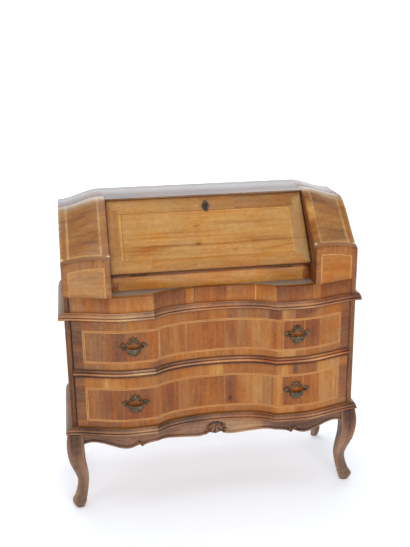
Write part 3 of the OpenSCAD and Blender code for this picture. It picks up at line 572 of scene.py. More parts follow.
def veneered(us, vs, point, leaf, rim=1.0, shade=None, mitres=(), tall=1.0, rim_painted_shade=0.0, dirt_and_shade=0.13,
             blur=0.0, rear=(0, 0.42, -0.2, 0, 3)):
    """Board whose face is laid from leaves: point(u, v, d) gives a place on the face
    (d = 0) or the back (d = 1), leaf(u, v) says which leaf lies there, and tall is the
    length of one step of v. The tone darkens along the edges, partly dirt and partly painted
    shade of the gaps between parts, the rim takes a painted shade of its own, and blur is
    how far the tone of a leaf runs into the next one. A mitre is a field (from u, to u,
    from v, to v, way) whose faces are cut in two along the diagonal."""
    bm = bmesh.new()
    grain = bm.loops.layers.uv.new("grain")
    tone = bm.loops.layers.uv.new("tone")
    walls = [[[bm.verts.new(point(u, v, d)) for u in us] for v in vs] for d in (0, 1)]

    def inside(u, v, margin=0.01):
        return min(max(u, us[0] + 1), us[-1] - 1), min(max(v, vs[0] + margin), vs[-1] - margin)

    def run_in(u, v, own):
        total, weight = 2 * own, 2
        for beside in (u - blur, u + blur):
            kind, other = leaf(*inside(beside, v, 0))[:2]
            if kind == 0:
                total, weight = total + other, weight + 1
        return total / weight

    def lay(corners, verts, chosen, plain=False):
        kind, own, warm, turn, number = chosen
        level = sum(v for _, v in corners) / len(corners)
        face = bm.faces.new(verts)
        face.material_index = 0 if plain else kind
        c, d = polar(turn)
        for loop, (u, v) in zip(face.loops, corners):
            w = v * tall
            loop[grain].uv = ((u * c - w * d) * MM + TURN_SHIFT * number,
                              (u * d + w * c) * MM + RUN_SHIFT * number)
            more, warmer = shade(u, v) if shade else (0, 0)
            edge = min(abs(u - us[0]), abs(us[-1] - u), abs(v - vs[0]) * tall, abs(vs[-1] - v) * tall)
            value = run_in(u, level, own) if blur and kind == 0 and not plain else own
            loop[tone].uv = (value + more - dirt_and_shade * exp(-edge / DIRT_AND_SHADE_REACH), warm + warmer)

    rows, columns = len(vs) - 1, len(us) - 1
    for j in range(rows):
        for i in range(columns):
            places = [(j, i), (j, i + 1), (j + 1, i + 1), (j + 1, i)]
            corners = [(us[b], vs[a]) for a, b in places]
            u, v = (us[i] + us[i + 1]) / 2, (vs[j] + vs[j + 1]) / 2
            front, back = ([wall[a][b] for a, b in places] for wall in walls)
            cut = next((m for m in mitres if m[0] < u < m[1] and m[2] < v < m[3]), None)
            if cut:
                for three in ([0, 1, 2], [0, 2, 3]) if cut[4] > 0 else ([0, 1, 3], [1, 2, 3]):
                    centre = [sum(corners[k][axis] for k in three) / 3 for axis in (0, 1)]
                    lay([corners[k] for k in three], [front[k] for k in three], leaf(*centre))
            else:
                lay(corners, front, leaf(u, v))
            lay(corners[::-1], back[::-1], rear, True)
    for (j, i), (jj, ii) in ring_of(columns, rows):
        verts = [walls[1][j][i], walls[1][jj][ii], walls[0][jj][ii], walls[0][j][i]]
        corners = [(us[i], vs[j] - RIM_WIDTH), (us[ii], vs[jj] - RIM_WIDTH),
                   (us[ii], vs[jj]), (us[i], vs[j])]
        own = leaf(*inside((us[i] + us[ii]) / 2, (vs[j] + vs[jj]) / 2))
        lay(corners, verts, (0, own[1] + rim_painted_shade, *own[2:]), True)
    bmesh.ops.recalc_face_normals(bm, faces=bm.faces)
    if rim:
        round_rim(bm, rim)
    return bm


PURE_STRING = 0.93
CALM, CALM_TONE = 0.55, 0.485


def pick(row, x):
    """Tone, warmth and number of the leaf at x in a row of (end, tone, warmth). Tones above
    PURE_STRING stand for a strip of string; the others are drawn toward a middle tone."""
    number = next((k for k, leaf in enumerate(row) if x < leaf[0]), len(row) - 1)
    _, tone, warm = row[number]
    return tone if tone > PURE_STRING else CALM_TONE + CALM * (tone - 0.5), CALM * warm, number


def spots(marks):
    """Dark knots and streaks: each mark is (u, v, half width, half height, depth, warmth)."""
    def shade(u, v):
        tone = warm = 0
        for x, z, wide, tall, deep, warmth in marks:
            d = ((u - x) / wide) ** 2 + ((v - z) / tall) ** 2
            if d < 4:
                tone -= deep * exp(-1.6 * d)
                warm += warmth * exp(-1.6 * d)
        return tone, warm
    return shade


# Drawer fronts: a rectangle of double string, the panel in it and the bands round it

INLAY, THREAD = 6.6, 2.0
PANEL_HALF = 402.5
OVER_PANEL, UNDER_PANEL = 30.5, 20.5
FRONT_HALF = span("upper_drawer_front", "x")[1] + 1.3
FRONT_THICK = 22

UPPER_PANEL = [
    (-372, .40, -.5), (-345, .45, -.3), (-332, .36, -.2), (-318, .43, -.1), (-290, .35, .0),
    (-282, .29, .2), (-240, .43, .6), (-210, .46, .6), (-176, .54, .6), (-171, .97, 0),
    (-140, .62, .1), (-128, .55, .2), (-115, .65, 0), (-90, .60, .3), (-86, .82, 0), (-55, .53, .5),
    (-20, .47, .8), (34, .51, .6), (36.5, .74, 0), (60, .51, .2), (90, .58, .1), (117, .55, .2),
    (126, .66, 0), (128.5, .85, 0), (140, .66, 0), (142.5, .85, 0), (153, .68, 0), (174, .64, .1),
    (188, .48, .4), (208, .68, .3), (211, .86, 0), (275, .37, .7), (278, .86, 0), (300, .35, .9),
    (327, .43, .8), (350, .56, .4), (354, .74, .1), (396, .61, .4)]
UPPER_ABOVE = [
    (-270, .42, -.2), (-185, .50, .2), (-120, .58, .3), (-10, .47, .6), (45, .62, .3), (168, .38, -.1),
    (204, .22, .2), (225, .78, 0), (246, .55, .1), (272, .20, .3), (300, .34, .3), (399, .56, .5)]
UPPER_BELOW = [
    (-330, .38, -.4), (-215, .60, .3), (-120, .50, .3), (0, .66, .4), (195, .62, .3), (249, .78, .1),
    (399, .54, .3)]
UPPER_COLUMNS = [[(540, .18, -.5), (562, .26, -.2), (640, .20, -.3)],
                 [(520, .26, .1), (560, .20, 0), (600, .23, .2), (640, .28, .2)]]
LOWER_PANEL = [
    (-363, .52, .1), (-330, .40, .2), (-312, .44, .4), (-288, .37, .4), (-240, .40, .5), (-201, .43, .5),
    (-180, .50, .4), (-171, .66, .2), (-140, .45, .5), (-117, .44, .6), (-96, .50, .4), (-81, .62, .3),
    (-40, .46, .6), (30, .48, .7), (33, .84, 0), (70, .41, .5), (84, .56, .3), (112, .68, .1),
    (150, .74, -.1), (176, .64, -.3), (179, .30, 0), (187, .60, -.1), (209, .86, .1), (274, .41, .8),
    (277, .86, 0), (300, .52, .9), (330, .58, .7), (396, .78, .1)]
LOWER_ABOVE = [
    (-348, .56, .4), (-303, .84, 0), (-190, .62, .3), (-110, .53, .4), (-18, .58, .5), (28, .84, .2),
    (69, .52, .4), (198, .48, .5), (226, .82, .1), (241, .62, 0), (255, .14, .2), (285, .42, .2),
    (324, .43, .6), (399, .80, .1)]
LOWER_BELOW = [
    (-300, .33, .2), (-270, .42, .4), (-195, .50, .4), (-105, .40, .1), (-48, .50, .5), (-21, .60, .9),
    (192, .50, .4), (252, .83, .2), (279, .55, .7), (399, .62, .3)]
LOWER_COLUMNS = [[(330, .34, -.1), (372, .38, -.2), (457, .20, -.5)],
                 [(330, .48, 0), (380, .38, -.1), (430, .36, -.1), (457, .56, 0)]]
BAND_LEAVES = [
    (-387, .52, -.4), (-317, .44, .0), (-260, .64, .1), (-187, .70, .2), (-85, .36, .6), (-60, .66, .1),
    (-57, .20, .3), (7, .44, .7), (40, .50, .9), (127, .62, .6), (130, .95, 0), (187, .66, .3),
    (300, .34, .8), (327, .56, .3), (434, .40, .9)]
UPPER_MARKS = [
    (-27, 590, 14, 24, .12, .3), (-300, 560, 20, 60, .06, 0), (-180, 495, 26, 14, .16, 0),
    (60, 560, 10, 60, .08, .2), (300, 560, 14, 50, .08, .3), (300, 630, 30, 8, .2, 0)]
LOWER_MARKS = [
    (50, 337, 9, 11, .34, 0), (48, 375, 7, 30, .10, .1), (-330, 370, 22, 40, .07, .2),
    (-140, 370, 14, 50, .07, .3), (-230, 300, 40, 8, .08, 0), (248, 440, 8, 12, .1, 0)]
DRAWER_FRONTS = {
    "upper": (UPPER_MARKS, UPPER_PANEL, UPPER_ABOVE, UPPER_BELOW, UPPER_COLUMNS, 0),
    "lower": (LOWER_MARKS, LOWER_PANEL, LOWER_ABOVE, LOWER_BELOW, LOWER_COLUMNS, 2.8)}


def drawer_leaves(low, high, inner, above, below, columns, drop):
    """Lines and leaves of a drawer front from low to high. Columns are the upright bands
    at its two ends, and drop lowers the panel's upper edge."""
    top, foot = high - OVER_PANEL - drop, low + UNDER_PANEL

    def leaf(x, z):
        dim = 0.03 + 0.03 * (x < -205) if foot < z < top else 0
        if abs(x) > PANEL_HALF:
            tone, warm, number = pick(columns[0] if x < 0 else columns[1], z)
            return 0, tone - dim, warm, 90, 50 + number
        if z > top or z < foot:
            tone, warm, number = pick(above if z > top else below, x)
            return 0, tone, warm, 0, (70 if z > top else 90) + number
        inset = min(PANEL_HALF - abs(x), top - z, z - foot)
        if inset < INLAY:
            turn = 0 if abs(x) > PANEL_HALF - INLAY else 90
            if THREAD < inset < INLAY - THREAD:
                return 0, 0.60 - dim, 0.1, turn, 3
            return 1, 0.8, 0, turn, 1
        tone, warm, number = pick(inner, x)
        if tone > PURE_STRING:
            return 1, 0.8, 0, 0, 2
        return 0, tone - dim, warm, 0, number

    insets = (0, THREAD, INLAY - THREAD, INLAY)
    marks = [-FRONT_HALF, FRONT_HALF] + [way * (PANEL_HALF - inset) for way in (-1, 1) for inset in insets]
    marks += [row[0] for rows in (inner, above, below) for row in rows if abs(row[0]) < 395]
    levels = [low, high] + [top - inset for inset in insets] + [foot + inset for inset in insets]
    levels += [row[0] for rows in columns for row in rows if low < row[0] < high]
    return marks, levels, leaf


def on_front(u, v, d):
    return u, front_y(u) + FRONT_THICK * d, v


def make_drawer_front(level, marks, *rows):
    node = f"{level}_drawer_front"
    us, vs, leaf = drawer_leaves(*span(node, "z"), *rows)
    bm = veneered(cut_lines(us, 9), cut_lines(vs, 9), on_front, leaf, 1.2, spots(marks), blur=7, dirt_and_shade=0.08)
    hand_in(settle(bm, node + "_veneered", [VENEER, STRING]), f"{level}_drawer", "walnut", node)


def make_band():
    """Plain band over the drawers, of upright leaves."""
    def leaf(x, z):
        tone, warm, number = pick(BAND_LEAVES, x)
        return (1 if tone > PURE_STRING else 0), tone, warm, 0, 20 + number
    marks = [-FRONT_HALF - 1, FRONT_HALF + 1] + [row[0] for row in BAND_LEAVES[:-1]]
    bm = veneered(cut_lines(marks, 9), cut_lines([WAIST, LEDGE], 36), on_front, leaf, 0.6)
    hand_in(settle(bm, "frieze_veneered", [VENEER, STRING]), "case", "golden_walnut", "frieze_band")


# Shoulders: upright cheeks below, sloping boards above. side is -1 on the left, 1 on the right.

CHEEK_INNER, CHEEK_OUTER = 330, 430
CHEEK_LINE = 4.1
CHEEK_TALL = 110
STRING_LOW, STRING_HIGH = 0.775, 0.81
NOSING_LEVELS = [95.5, 96.6, 97.6, 98.4, 99.1, 99.6, 100]
NOSING = 5.0
CHEEK_BACK = 18


def make_cheek(word, side):
    """Front board of a shoulder: a panel of upright grain, its string and borders. v is the
    share of the height; near the top the lines follow the fall of the board."""
    tone, warm = (.585, -.5) if side < 0 else (.58, .3)
    border_warm = -.3 if side < 0 else .1
    inner, outer = CHEEK_INNER, CHEEK_OUTER

    def share(u, v):
        drop = 0.09 * across(u)
        if v < STRING_LOW:
            return v * (STRING_LOW - drop) / STRING_LOW
        if v < STRING_HIGH:
            return v - drop
        return 1 - (1 - v) * (1 - STRING_HIGH + drop) / (1 - STRING_HIGH)

    def place(u, v, d):
        front = front_y(u)
        if d:
            return u, front + CHEEK_BACK, LEDGE + (shoulder_z(u, front + CHEEK_BACK) - LEDGE) * v
        high = shoulder_z(u, front + NOSING) - LEDGE
        z = high * share(u, v)
        up = max(0.0, (z - high + NOSING) / NOSING)
        return u, front + NOSING * (1 - sqrt(max(0, 1 - up * up))), LEDGE + z

    def leaf(u, v):
        x = abs(u)
        if x < inner - CHEEK_LINE or x > outer + CHEEK_LINE:
            return 0, .48, border_warm, 90, 4 + (x > 400) + 3 * side
        if v > STRING_HIGH:
            return 0, .50, border_warm, 0, 8 + side
        if x < inner or x > outer or v > STRING_LOW:
            return 1, .8, 0, 0, 1
        return 0, tone, warm, 90, 10 + side
    us = [side * x for x in (FALL_HALF, inner - CHEEK_LINE, inner, outer, outer + CHEEK_LINE, HALF)]
    vs = cut_lines([0, 100 * STRING_LOW, 100 * STRING_HIGH, 94], 12) + NOSING_LEVELS
    bm = veneered(cut_lines(us, 7), [v / 100 for v in vs], place, leaf, 0, tall=CHEEK_TALL)
    hand_in(settle(bm, f"cheek_{word}_veneered", [VENEER, STRING]), "case", "golden_walnut",
            f"shoulder_front_{word}")


SLOPE_TALL = 240
SLOPE_THICK = 15
SLOPE_REAR = BACK - CREST_OUT
SLOPE_LINES = (329, 336, 424, 432)


def make_slope(word, side):
    """Sloping board of a shoulder; v is the share of the way up."""
    string_in, panel_in, panel_out, string_out = SLOPE_LINES

    def place(u, v, d):
        start = front_y(u) + CHEEK_BACK + 0.2
        y = start + (SLOPE_REAR - start) * v
        return u, y, min(shoulder_z(u, y), ROOF + 0.06) - SLOPE_THICK * d

    def leaf(u, v):
        x = abs(u)
        if panel_out < x < string_out or (string_in < x < panel_in and v > 0.03):
            return 0, .66 - .10 * v, -.9, 0, 60 + side
        if x < string_in + 2 or x > string_out - 2:
            return 0, .50, -.1, 90, 30 + side + (x > 400)
        if v < 0.012:
            return 0, .54, .2, 0, 33 + side
        if v < 0.03:
            return 0, .66, -.6, 90, 62
        return 0, .48, -.3 if side < 0 else -.6, 78 * side, 36 + side

    def shade(u, v):
        """Streaks, and painted light: glints at the nosing corners, a sheen along the lip, a reflection
        along the outer edge and a grey sheen near the crest.
        """
        far = abs(u)
        x = far - 380
        streaks = (0.04 * sin(19 * v + 0.022 * x + 0.9 * sin(5 * v))
                   + 0.035 * sin(53 * v - 0.03 * x + 1.3 * sin(0.05 * x))
                   + 0.025 * sin(110 * v + 0.02 * x))
        if far > string_out or far < string_in:
            streaks *= 0.4
        gold = 0.3 * hill((far, 321, 12), (v, 0.45, 0.1)) if side > 0 else 0
        # Painted light: a grey sheen near the crest, glints at the nosing corners, a sheen along the lip
        # and a reflection along the outer edge.
        pale = ease((v - 0.60) / 0.3)
        nosing_glints = sum(hill((far, corner, 5), (v, 0, 0.03)) for corner in (311, 449))
        lip = hill((v, 0, 0.03))
        arris = hill((far, HALF, 4))
        return (streaks + gold + 0.02 * pale - 0.10 * hill((v, 0.60, 0.03)) + 0.8 * nosing_glints + 0.08 * lip
                + 0.3 * arris, -1.4 * pale - 2.0 * nosing_glints - 0.8 * lip - 2.0 * arris)
    us = cut_lines([side * x for x in (FALL_HALF, *SLOPE_LINES, HALF)], 6)
    vs = cut_lines([200 * v for v in (0, 0.012, 0.03, 1)], 4)
    bm = veneered(us, [v / 200 for v in vs], place, leaf, 0, shade, tall=SLOPE_TALL)
    hand_in(settle(bm, f"slope_{word}_veneered", [VENEER, STRING], 40), "case", "walnut",
            f"shoulder_slope_{word}")


# Fall front and its cuts

def carve_out(piece, cutters):
    """Cuts each cutter out of a piece and drops it."""
    for cutter in cutters:
        cut = piece.modifiers.new("cut", "BOOLEAN")
        cut.operation = "DIFFERENCE"
        cut.solver = "EXACT"
        cut.object = cutter
        make_plain(piece)
        bpy.data.objects.remove(cutter)


def fall_box(x0, x1, s0, s1, n0, n1):
    """Square cutter in the fall front's own directions."""
    bm = bmesh.new()
    square = ((x0, s0), (x1, s0), (x1, s1), (x0, s1))
    verts = [bm.verts.new(in_fall(x, s, n)) for n in (n0, n1) for x, s in square]
    for face in ((3, 2, 1, 0), (4, 5, 6, 7), (0, 1, 5, 4), (1, 2, 6, 5), (2, 3, 7, 6), (3, 0, 4, 7)):
        bm.faces.new([verts[k] for k in face])
    return settle(bm, "cutter", [])


def fall_round(x, s, n, radius, length, around):
    """Round cutter: around "x" lies along the hinge, around "n" runs through the board."""
    bm = bmesh.new()
    count = 24
    ends = []
    for end in (0, length):
        ring = []
        for k in range(count):
            p, q = polar(360 * k / count, radius)
            place = (x + end, s + p, n + q) if around == "x" else (x + p, s + q, n + end)
            ring.append(bm.verts.new(in_fall(*place)))
        ends.append(ring)
    bm.faces.new(ends[0])
    bm.faces.new(reversed(ends[1]))
    for k in range(count):
        bm.faces.new([ends[0][k], ends[1][k], ends[1][(k + 1) % count], ends[0][(k + 1) % count]])
    bmesh.ops.recalc_face_normals(bm, faces=bm.faces)
    return settle(bm, "cutter", [])


FALL_WIDE = span("fall_front", "x")[1]
FALL_TALL, FALL_THICK = 238, 20
PANEL_LEFT, PANEL_RIGHT, PANEL_FOOT, PANEL_TOP = -272, 263, 37, 193.5
LEFT_STRIP, RIGHT_STRIP, DARK_THREAD, FINE = 8, 4, 1.6, 2.4
FALL_BOTTOM_LEAVES = [(-180, .78, -.5), (999, .77, -.4)]
# The low warmth of the top border greys it, a painted sheen.
FALL_TOP_LEAVES = [(-150, .83, -1.2), (-20, .77, -1.1), (90, .66, -1.1), (999, .54, -1.2)]
FALL_MARKS = [
    (-160, 81, 120, 3.4, .30, .45), (20, 79, 130, 3.0, .24, .45), (190, 83, 120, 3.6, .26, .3),
    (-190, 73, 90, 9, .13, .45), (-190, 66, 100, 2.0, .24, .45), (-215, 58, 70, 2.2, .16, .45),
    (170, 92, 110, 10, .12, .3), (-60, 51, 150, 2.2, .14, .45), (-37, 142, 7, 5, .28, .45),
    (-37, 83, 9, 6, .34, .45), (80, 58, 7, 5, .26, .45), (160, 54, 26, 1.8, .26, .45),
    (204, 59, 26, 1.8, .28, .45), (246, 65, 22, 1.8, .26, .45), (-120, 122, 150, 3, .10, .45),
    (120, 147, 130, 8, .11, .3), (-180, 108, 90, 3, .08, .45), (-37, 112, 10, 26, .06, .3),
    (-200, 165, 80, 5, -.08, 0), (-120, 28, 160, 3, -.08, 0), (60, 106, 200, 2.6, .09, .45),
    (286, 150, 10, 80, .07, .3), (200, 216, 90, 6, .08, .3)]
HINGE_AT, LEAF_HALF, LEAF_TALL, LEAF_DEEP, BARREL = 225, 28.4, 18.4, 1.6, 3.4
LOCK_CUT = (-31.2, 31.2, 193.8, 239, -1, 15.2)
KEY_AT, KEY_RADIUS = 209, 3
KEY_CUT = (-1.3, 1.3, 200, KEY_AT, 14, 22)


def fall_leaf(u, s):
    """Leaf of the fall front: mitred borders, a string frame open to the sides, the panel."""
    if u < 0:
        aside = (PANEL_LEFT - u) / (PANEL_LEFT + FALL_WIDE)
    else:
        aside = (u - PANEL_RIGHT) / (FALL_WIDE - PANEL_RIGHT)
    low = s < PANEL_FOOT
    beyond = (PANEL_FOOT - s) / PANEL_FOOT if low else (s - PANEL_TOP) / (FALL_TALL - PANEL_TOP)
    if beyond > max(aside, 0):
        tone, warm, number = pick(FALL_BOTTOM_LEAVES if low else FALL_TOP_LEAVES, u)
        return 0, tone, warm, 90, 40 + number
    if aside > 0:
        # The right border's low warmth greys it, a painted sheen.
        return 0, .62, (-1.2 if u > 0 else -.4), 0, 48 + (u > 0)
    if s > PANEL_TOP - FINE or s < PANEL_FOOT + FINE:
        return 0, .44 if s > 100 else .58, 0, 90, 46
    if u < PANEL_LEFT + LEFT_STRIP:
        return 0, .80, -.1, 0, 51
    if u < PANEL_LEFT + LEFT_STRIP + DARK_THREAD:
        return 0, .44, .2, 0, 51
    if u > PANEL_RIGHT - RIGHT_STRIP:
        return 0, .80, -.1, 0, 52
    return 0, .70, -.42, 90, 47


def make_fall():
    parts = (0, 0.05, 0.1, 0.2, 0.4, 0.7, 1)
    strip = PANEL_LEFT + LEFT_STRIP
    vs = ([PANEL_FOOT * part for part in parts] + cut_lines([PANEL_FOOT + FINE, PANEL_TOP - FINE], 3.2)
          + [FALL_TALL - (FALL_TALL - PANEL_TOP) * part for part in reversed(parts)])
    us = ([-FALL_WIDE + (PANEL_LEFT + FALL_WIDE) * part for part in parts] + [strip]
          + cut_lines([strip + DARK_THREAD, PANEL_RIGHT - RIGHT_STRIP, -35], 14)
          + [FALL_WIDE - (FALL_WIDE - PANEL_RIGHT) * part for part in reversed(parts)])
    left, right = (-FALL_WIDE, PANEL_LEFT), (PANEL_RIGHT, FALL_WIDE)
    foot, top = (0, PANEL_FOOT), (PANEL_TOP, FALL_TALL)
    mitres = [(*left, *foot, -1), (*right, *foot, 1), (*left, *top, 1), (*right, *top, -1)]
    # The rim is darkened as a painted shadow line, and the edges darken more than on other boards, partly
    # dirt and partly painted shade of the gaps round the fall.
    bm = veneered(us, vs, lambda u, s, d: in_fall(u, s, FALL_THICK * (1 - d)), fall_leaf, 1.1,
                  spots(FALL_MARKS), mitres, rim_painted_shade=-.26, dirt_and_shade=0.20, rear=(0, 0.54, 0.1, 90, 3))
    fall = settle(bm, "fall_veneered", [VENEER, STRING])
    cutters = [fall_box(*LOCK_CUT)]
    for x in (-HINGE_AT, HINGE_AT):
        cutters.append(fall_box(x - LEAF_HALF, x + LEAF_HALF, -1, LEAF_TALL, -1, LEAF_DEEP))
        cutters.append(fall_round(x - LEAF_HALF, 0, 0, BARREL, 2 * LEAF_HALF, "x"))
    cutters += [fall_round(0, KEY_AT, 14, KEY_RADIUS, 8, "n"), fall_box(*KEY_CUT)]
    carve_out(fall, cutters)
    soften(fall.data)
    hand_in(fall, "fall", "golden_walnut", "fall_front")


# Lofted and swept work

def even(i, j):
    return 0.5, 0


def loft(bm, rings, tone=even, number=0):
    """Closed skin through rings. The grain runs from ring to ring; tone(i, j) gives the
    tone and warmth of point j on ring i."""
    grain = bm.loops.layers.uv.get("grain") or bm.loops.layers.uv.new("grain")
    shade = bm.loops.layers.uv.get("tone") or bm.loops.layers.uv.new("tone")
    count, last = len(rings[0]), len(rings) - 1
    verts = [[bm.verts.new(p) for p in ring] for ring in rings]
    run = [0.0]
    for a, b in zip(rings, rings[1:]):
        run.append(run[-1] + max((Vector(q) - Vector(p)).length for p, q in zip(a, b)))
    widest = max(rings, key=lambda r: (Vector(r[0]) - Vector(r[count // 2])).length)
    girth = [0.0]
    for j in range(count):
        girth.append(girth[-1] + (Vector(widest[(j + 1) % count]) - Vector(widest[j])).length)
    faces = []
    for i in range(last):
        for j in range(count):
            k = (j + 1) % count
            face = bm.faces.new((verts[i][j], verts[i][k], verts[i + 1][k], verts[i + 1][j]))
            faces.append(face)
            for loop, (a, b) in zip(face.loops, ((i, j), (i, j + 1), (i + 1, j + 1), (i + 1, j))):
                loop[grain].uv = (girth[b] * MM + TURN_SHIFT * number, run[a] * MM + RUN_SHIFT * number)
                loop[shade].uv = tone(a, b % count)
    for ring, i in ((verts[0][::-1], 0), (verts[-1], last)):
        face = bm.faces.new(ring)
        faces.append(face)
        for loop in face.loops:
            loop[grain].uv = (loop.vert.co.x * MM, loop.vert.co.z * MM)
            loop[shade].uv = tone(i, 0)
    bmesh.ops.recalc_face_normals(bm, faces=faces)


# Mouldings. A profile point is (share of the depth, share of the height, tone). The tone is highest on the
# noses and lowest in the hollows: partly wear, partly painted highlight and painted shade.

CASE_PROFILE = [
    (0, 0, .2), (.60, 0, .2), (.62, .03, .2), (.80, .04, .3), (.92, .07, .5), (.985, .12, .8),
    (1, .18, .95), (.99, .245, .9), (.95, .30, .6), (.86, .345, .30), (.80, .365, .2), (.79, .40, .2),
    (.84, .42, .35), (.87, .46, .7), (.865, .53, .86), (.83, .62, .80), (.77, .71, .60), (.69, .79, .50),
    (.62, .85, .48), (.57, .885, .46), (.55, .90, .44), (.55, .915, .46), (.57, .93, .64), (.57, .96, .74),
    (.52, .99, .76), (.42, 1, .76), (0, 1, .7)]
# The peak tone on the mid moulding's nose is a painted highlight.
MID_PROFILE = [
    (0, 0, .34), (.35, 0, .34), (.37, .10, .44), (.36, .15, .34), (.50, .17, .27), (.56, .20, .27),
    (.72, .235, .35), (.90, .30, .7), (.99, .39, 1.0), (1, .47, 1.25), (.97, .56, 1.15), (.87, .63, .7),
    (.74, .68, .38), (.66, .70, .34), (.60, .73, .54), (.52, .80, .82), (.42, .88, .9), (.37, .97, .82),
    (.36, 1, .65), (0, 1, .5)]
JOINT_X = -188.0
MOULD_TALL, MOULD_OUT = 24, 18
SEAT = 0.2


def worn(base, x, level, spread=0.18):
    """Tone along a moulding: lighter and darker lengths, as hands and dusters leave them."""
    drift = sin(x * 0.021 + level) + 0.6 * sin(x * 0.057 + 2.1 * level)
    return base + spread * drift * (0.3 + base * 0.5)


def make_moulding(name, profile, stations, low, tall, node, number, left_tone, right_tone, joint_painted_light, glow, end):
    """Moulding along the front, in two lengths: past the joint the new one starts darker, a painted shade,
    and just before the joint the first is lighter, a painted highlight.
    Glow warms it toward the right, and end darkens its right end."""
    rings = [[(x + p[0] * dx, y + p[0] * dy, low + p[1] * tall) for p in profile]
             for x, y, dx, dy in stations]

    def tone(i, j):
        x = stations[i][0]
        share = (x + HALF) / (2 * HALF)
        past = x - JOINT_X
        change = -joint_painted_light * exp(-past / 60) if past > 0 else 0.4 * joint_painted_light * exp(past / 40)
        if abs(past) < 0.5:
            change = -0.2
        value = 0.06 + 0.66 * worn(profile[j][2], x, number) + left_tone + (right_tone - left_tone) * share
        return (value + change - end * ease((x - 390) / 50),
                -0.75 + 0.3 * sin(0.013 * x + number) + glow * ease(share))
    bm = bmesh.new()
    loft(bm, rings, tone, number)
    hand_in(settle(bm, name, [MOULDED], 50), "case", "dark_walnut", node)


def front_stations(reach, out, corner):
    """Places along the front with the direction of the moulding's depth there; corner is
    how far its mitred ends stand out sideways."""
    xs = cut_lines([-reach, -LOBE_X, JOINT_X - 1.2, JOINT_X, JOINT_X + 1.2, 0, BREAK_X, LOBE_X, reach], 7)
    found = []
    for x in xs:
        dx, dy = front_out(x)
        step = (out * dx, out * dy)
        if corner and abs(x) > reach - 0.01:
            step = (copysign(corner, x), -out)
        found.append((x, front_y(x) - SEAT, *step))
    return found


def make_side_mouldings(name, low, node):
    bm = bmesh.new()
    for side in (-1, 1):
        rings = []
        for y in steps(front_y(HALF) - SEAT, BACK, 12):
            lean = 1 if y < front_y(HALF) else 0
            rings.append([(side * (HALF + SEAT + p[0] * MOULD_OUT), y - lean * (p[0] * 10 - SEAT),
                           low + p[1] * MOULD_TALL) for p in CASE_PROFILE])
        loft(bm, rings, lambda i, j: (0.02 + 0.5 * worn(CASE_PROFILE[j][2], 30 * i, side), -.9), 5 + side)
    hand_in(settle(bm, name, [MOULDED], 50), "case", "dark_walnut", node)


# Legs. A row is (share of the height, distance of the middle from the corner's two faces,
# half width, squareness). Drawn for a corner that points to -X and -Y.

LEG_ROWS = [
    (0.000, 11.2, 14.0, 2.6), (0.022, 10.6, 16.4, 2.7), (0.055, 9.8, 20.3, 2.8), (0.084, 10.0, 22.6, 3.0),
    (0.098, 10.8, 22.6, 3.0), (0.112, 12.4, 21.0, 2.8), (0.150, 16.8, 19.6, 2.6), (0.250, 23.2, 17.9, 2.6),
    (0.340, 25.6, 17.9, 2.7), (0.430, 22.2, 20.4, 2.8), (0.530, 16.4, 23.2, 3.0), (0.640, 10.6, 25.7, 3.2),
    (0.760, 7.6, 26.9, 3.6), (0.880, 8.0, 27.1, 4.4), (1.000, 11.0, 24, 7.0)]
REAR_ROWS = [
    (0.000, 23.5, 10.5, 2.4), (0.030, 21.5, 13.0, 2.5), (0.080, 19.5, 14.8, 2.6), (0.130, 18.5, 15.2, 2.7),
    (0.190, 18.8, 14.8, 2.8), (0.260, 19.0, 15.0, 3.0), (0.380, 17.0, 17.5, 3.2), (0.560, 12.2, 22.3, 3.6),
    (0.780, 8.0, 26.0, 4.4), (1.000, 11.0, 24, 7.0)]
BEAD_POINTS = 48
BEAD_FOOT, BEAD_HEAD, BEAD_TURN = 2.2, 13.85, -42
CURL_TURN = -135
LEG_CURLS = ((10.65, 8.0, 8.0, 150), (3.6, 6.5, 8.0, -120))
LEG_COUNT, LEG_FILL = 56, 6


def leg_point(rows, t, a, flat):
    """Point of a leg at turn a round its middle; a flat leg keeps its outer face in line."""
    z = STAND * spline(rows, t, 0)
    back, half, power = (spline(rows, t, k) for k in (1, 2, 3))
    deep = half if flat else back
    c, d = cos(a), sin(a)
    return (back + half * copysign(abs(c) ** (2 / power), c),
            deep + half * copysign(abs(d) ** (2 / power), d), z)


def stand_leg(points, left, front):
    """Points of a drawn leg at one of the four corners."""
    sx, sy = (1 if left else -1), (1 if front else -1)
    oy = BACK - CORNER_DEPTH if front else BACK
    return [(max(-WIDEST, min(WIDEST, sx * (x - HALF))), oy + sy * y, z) for x, y, z in points]


def make_leg_beads():
    """Bead down the inner edge of each front leg, and the small scrolls on its outer edge."""
    lines = []
    for left in (True, False):
        rises = steps(BEAD_FOOT, BEAD_HEAD, BEAD_POINTS)
        path = [leg_point(LEG_ROWS, t, radians(BEAD_TURN), False) for t in rises]
        fade = [min(1, 0.35 + k / 10, 0.35 + (BEAD_POINTS - k) / 6) for k in range(BEAD_POINTS + 1)]
        lines.append(list(zip(stand_leg(path, left, True), fade)))
        for t, inset, big, start in LEG_CURLS:
            x, y, z = leg_point(LEG_ROWS, t, radians(CURL_TURN), False)
            turned = [(a, y - 0.3, b) for a, b in curl((x + inset, z), start, 1.2, big, 1.4, 22)]
            places = stand_leg(turned, left, True)
            lines.append([(place, 1.25 - 0.025 * k) for k, place in enumerate(places)])
    piece = swept("leg_front_beads", lines, 1.7, LEG_BEAD, 10)
    soften(piece.data, 60)
    hand_in(piece, "case", "dark_walnut")


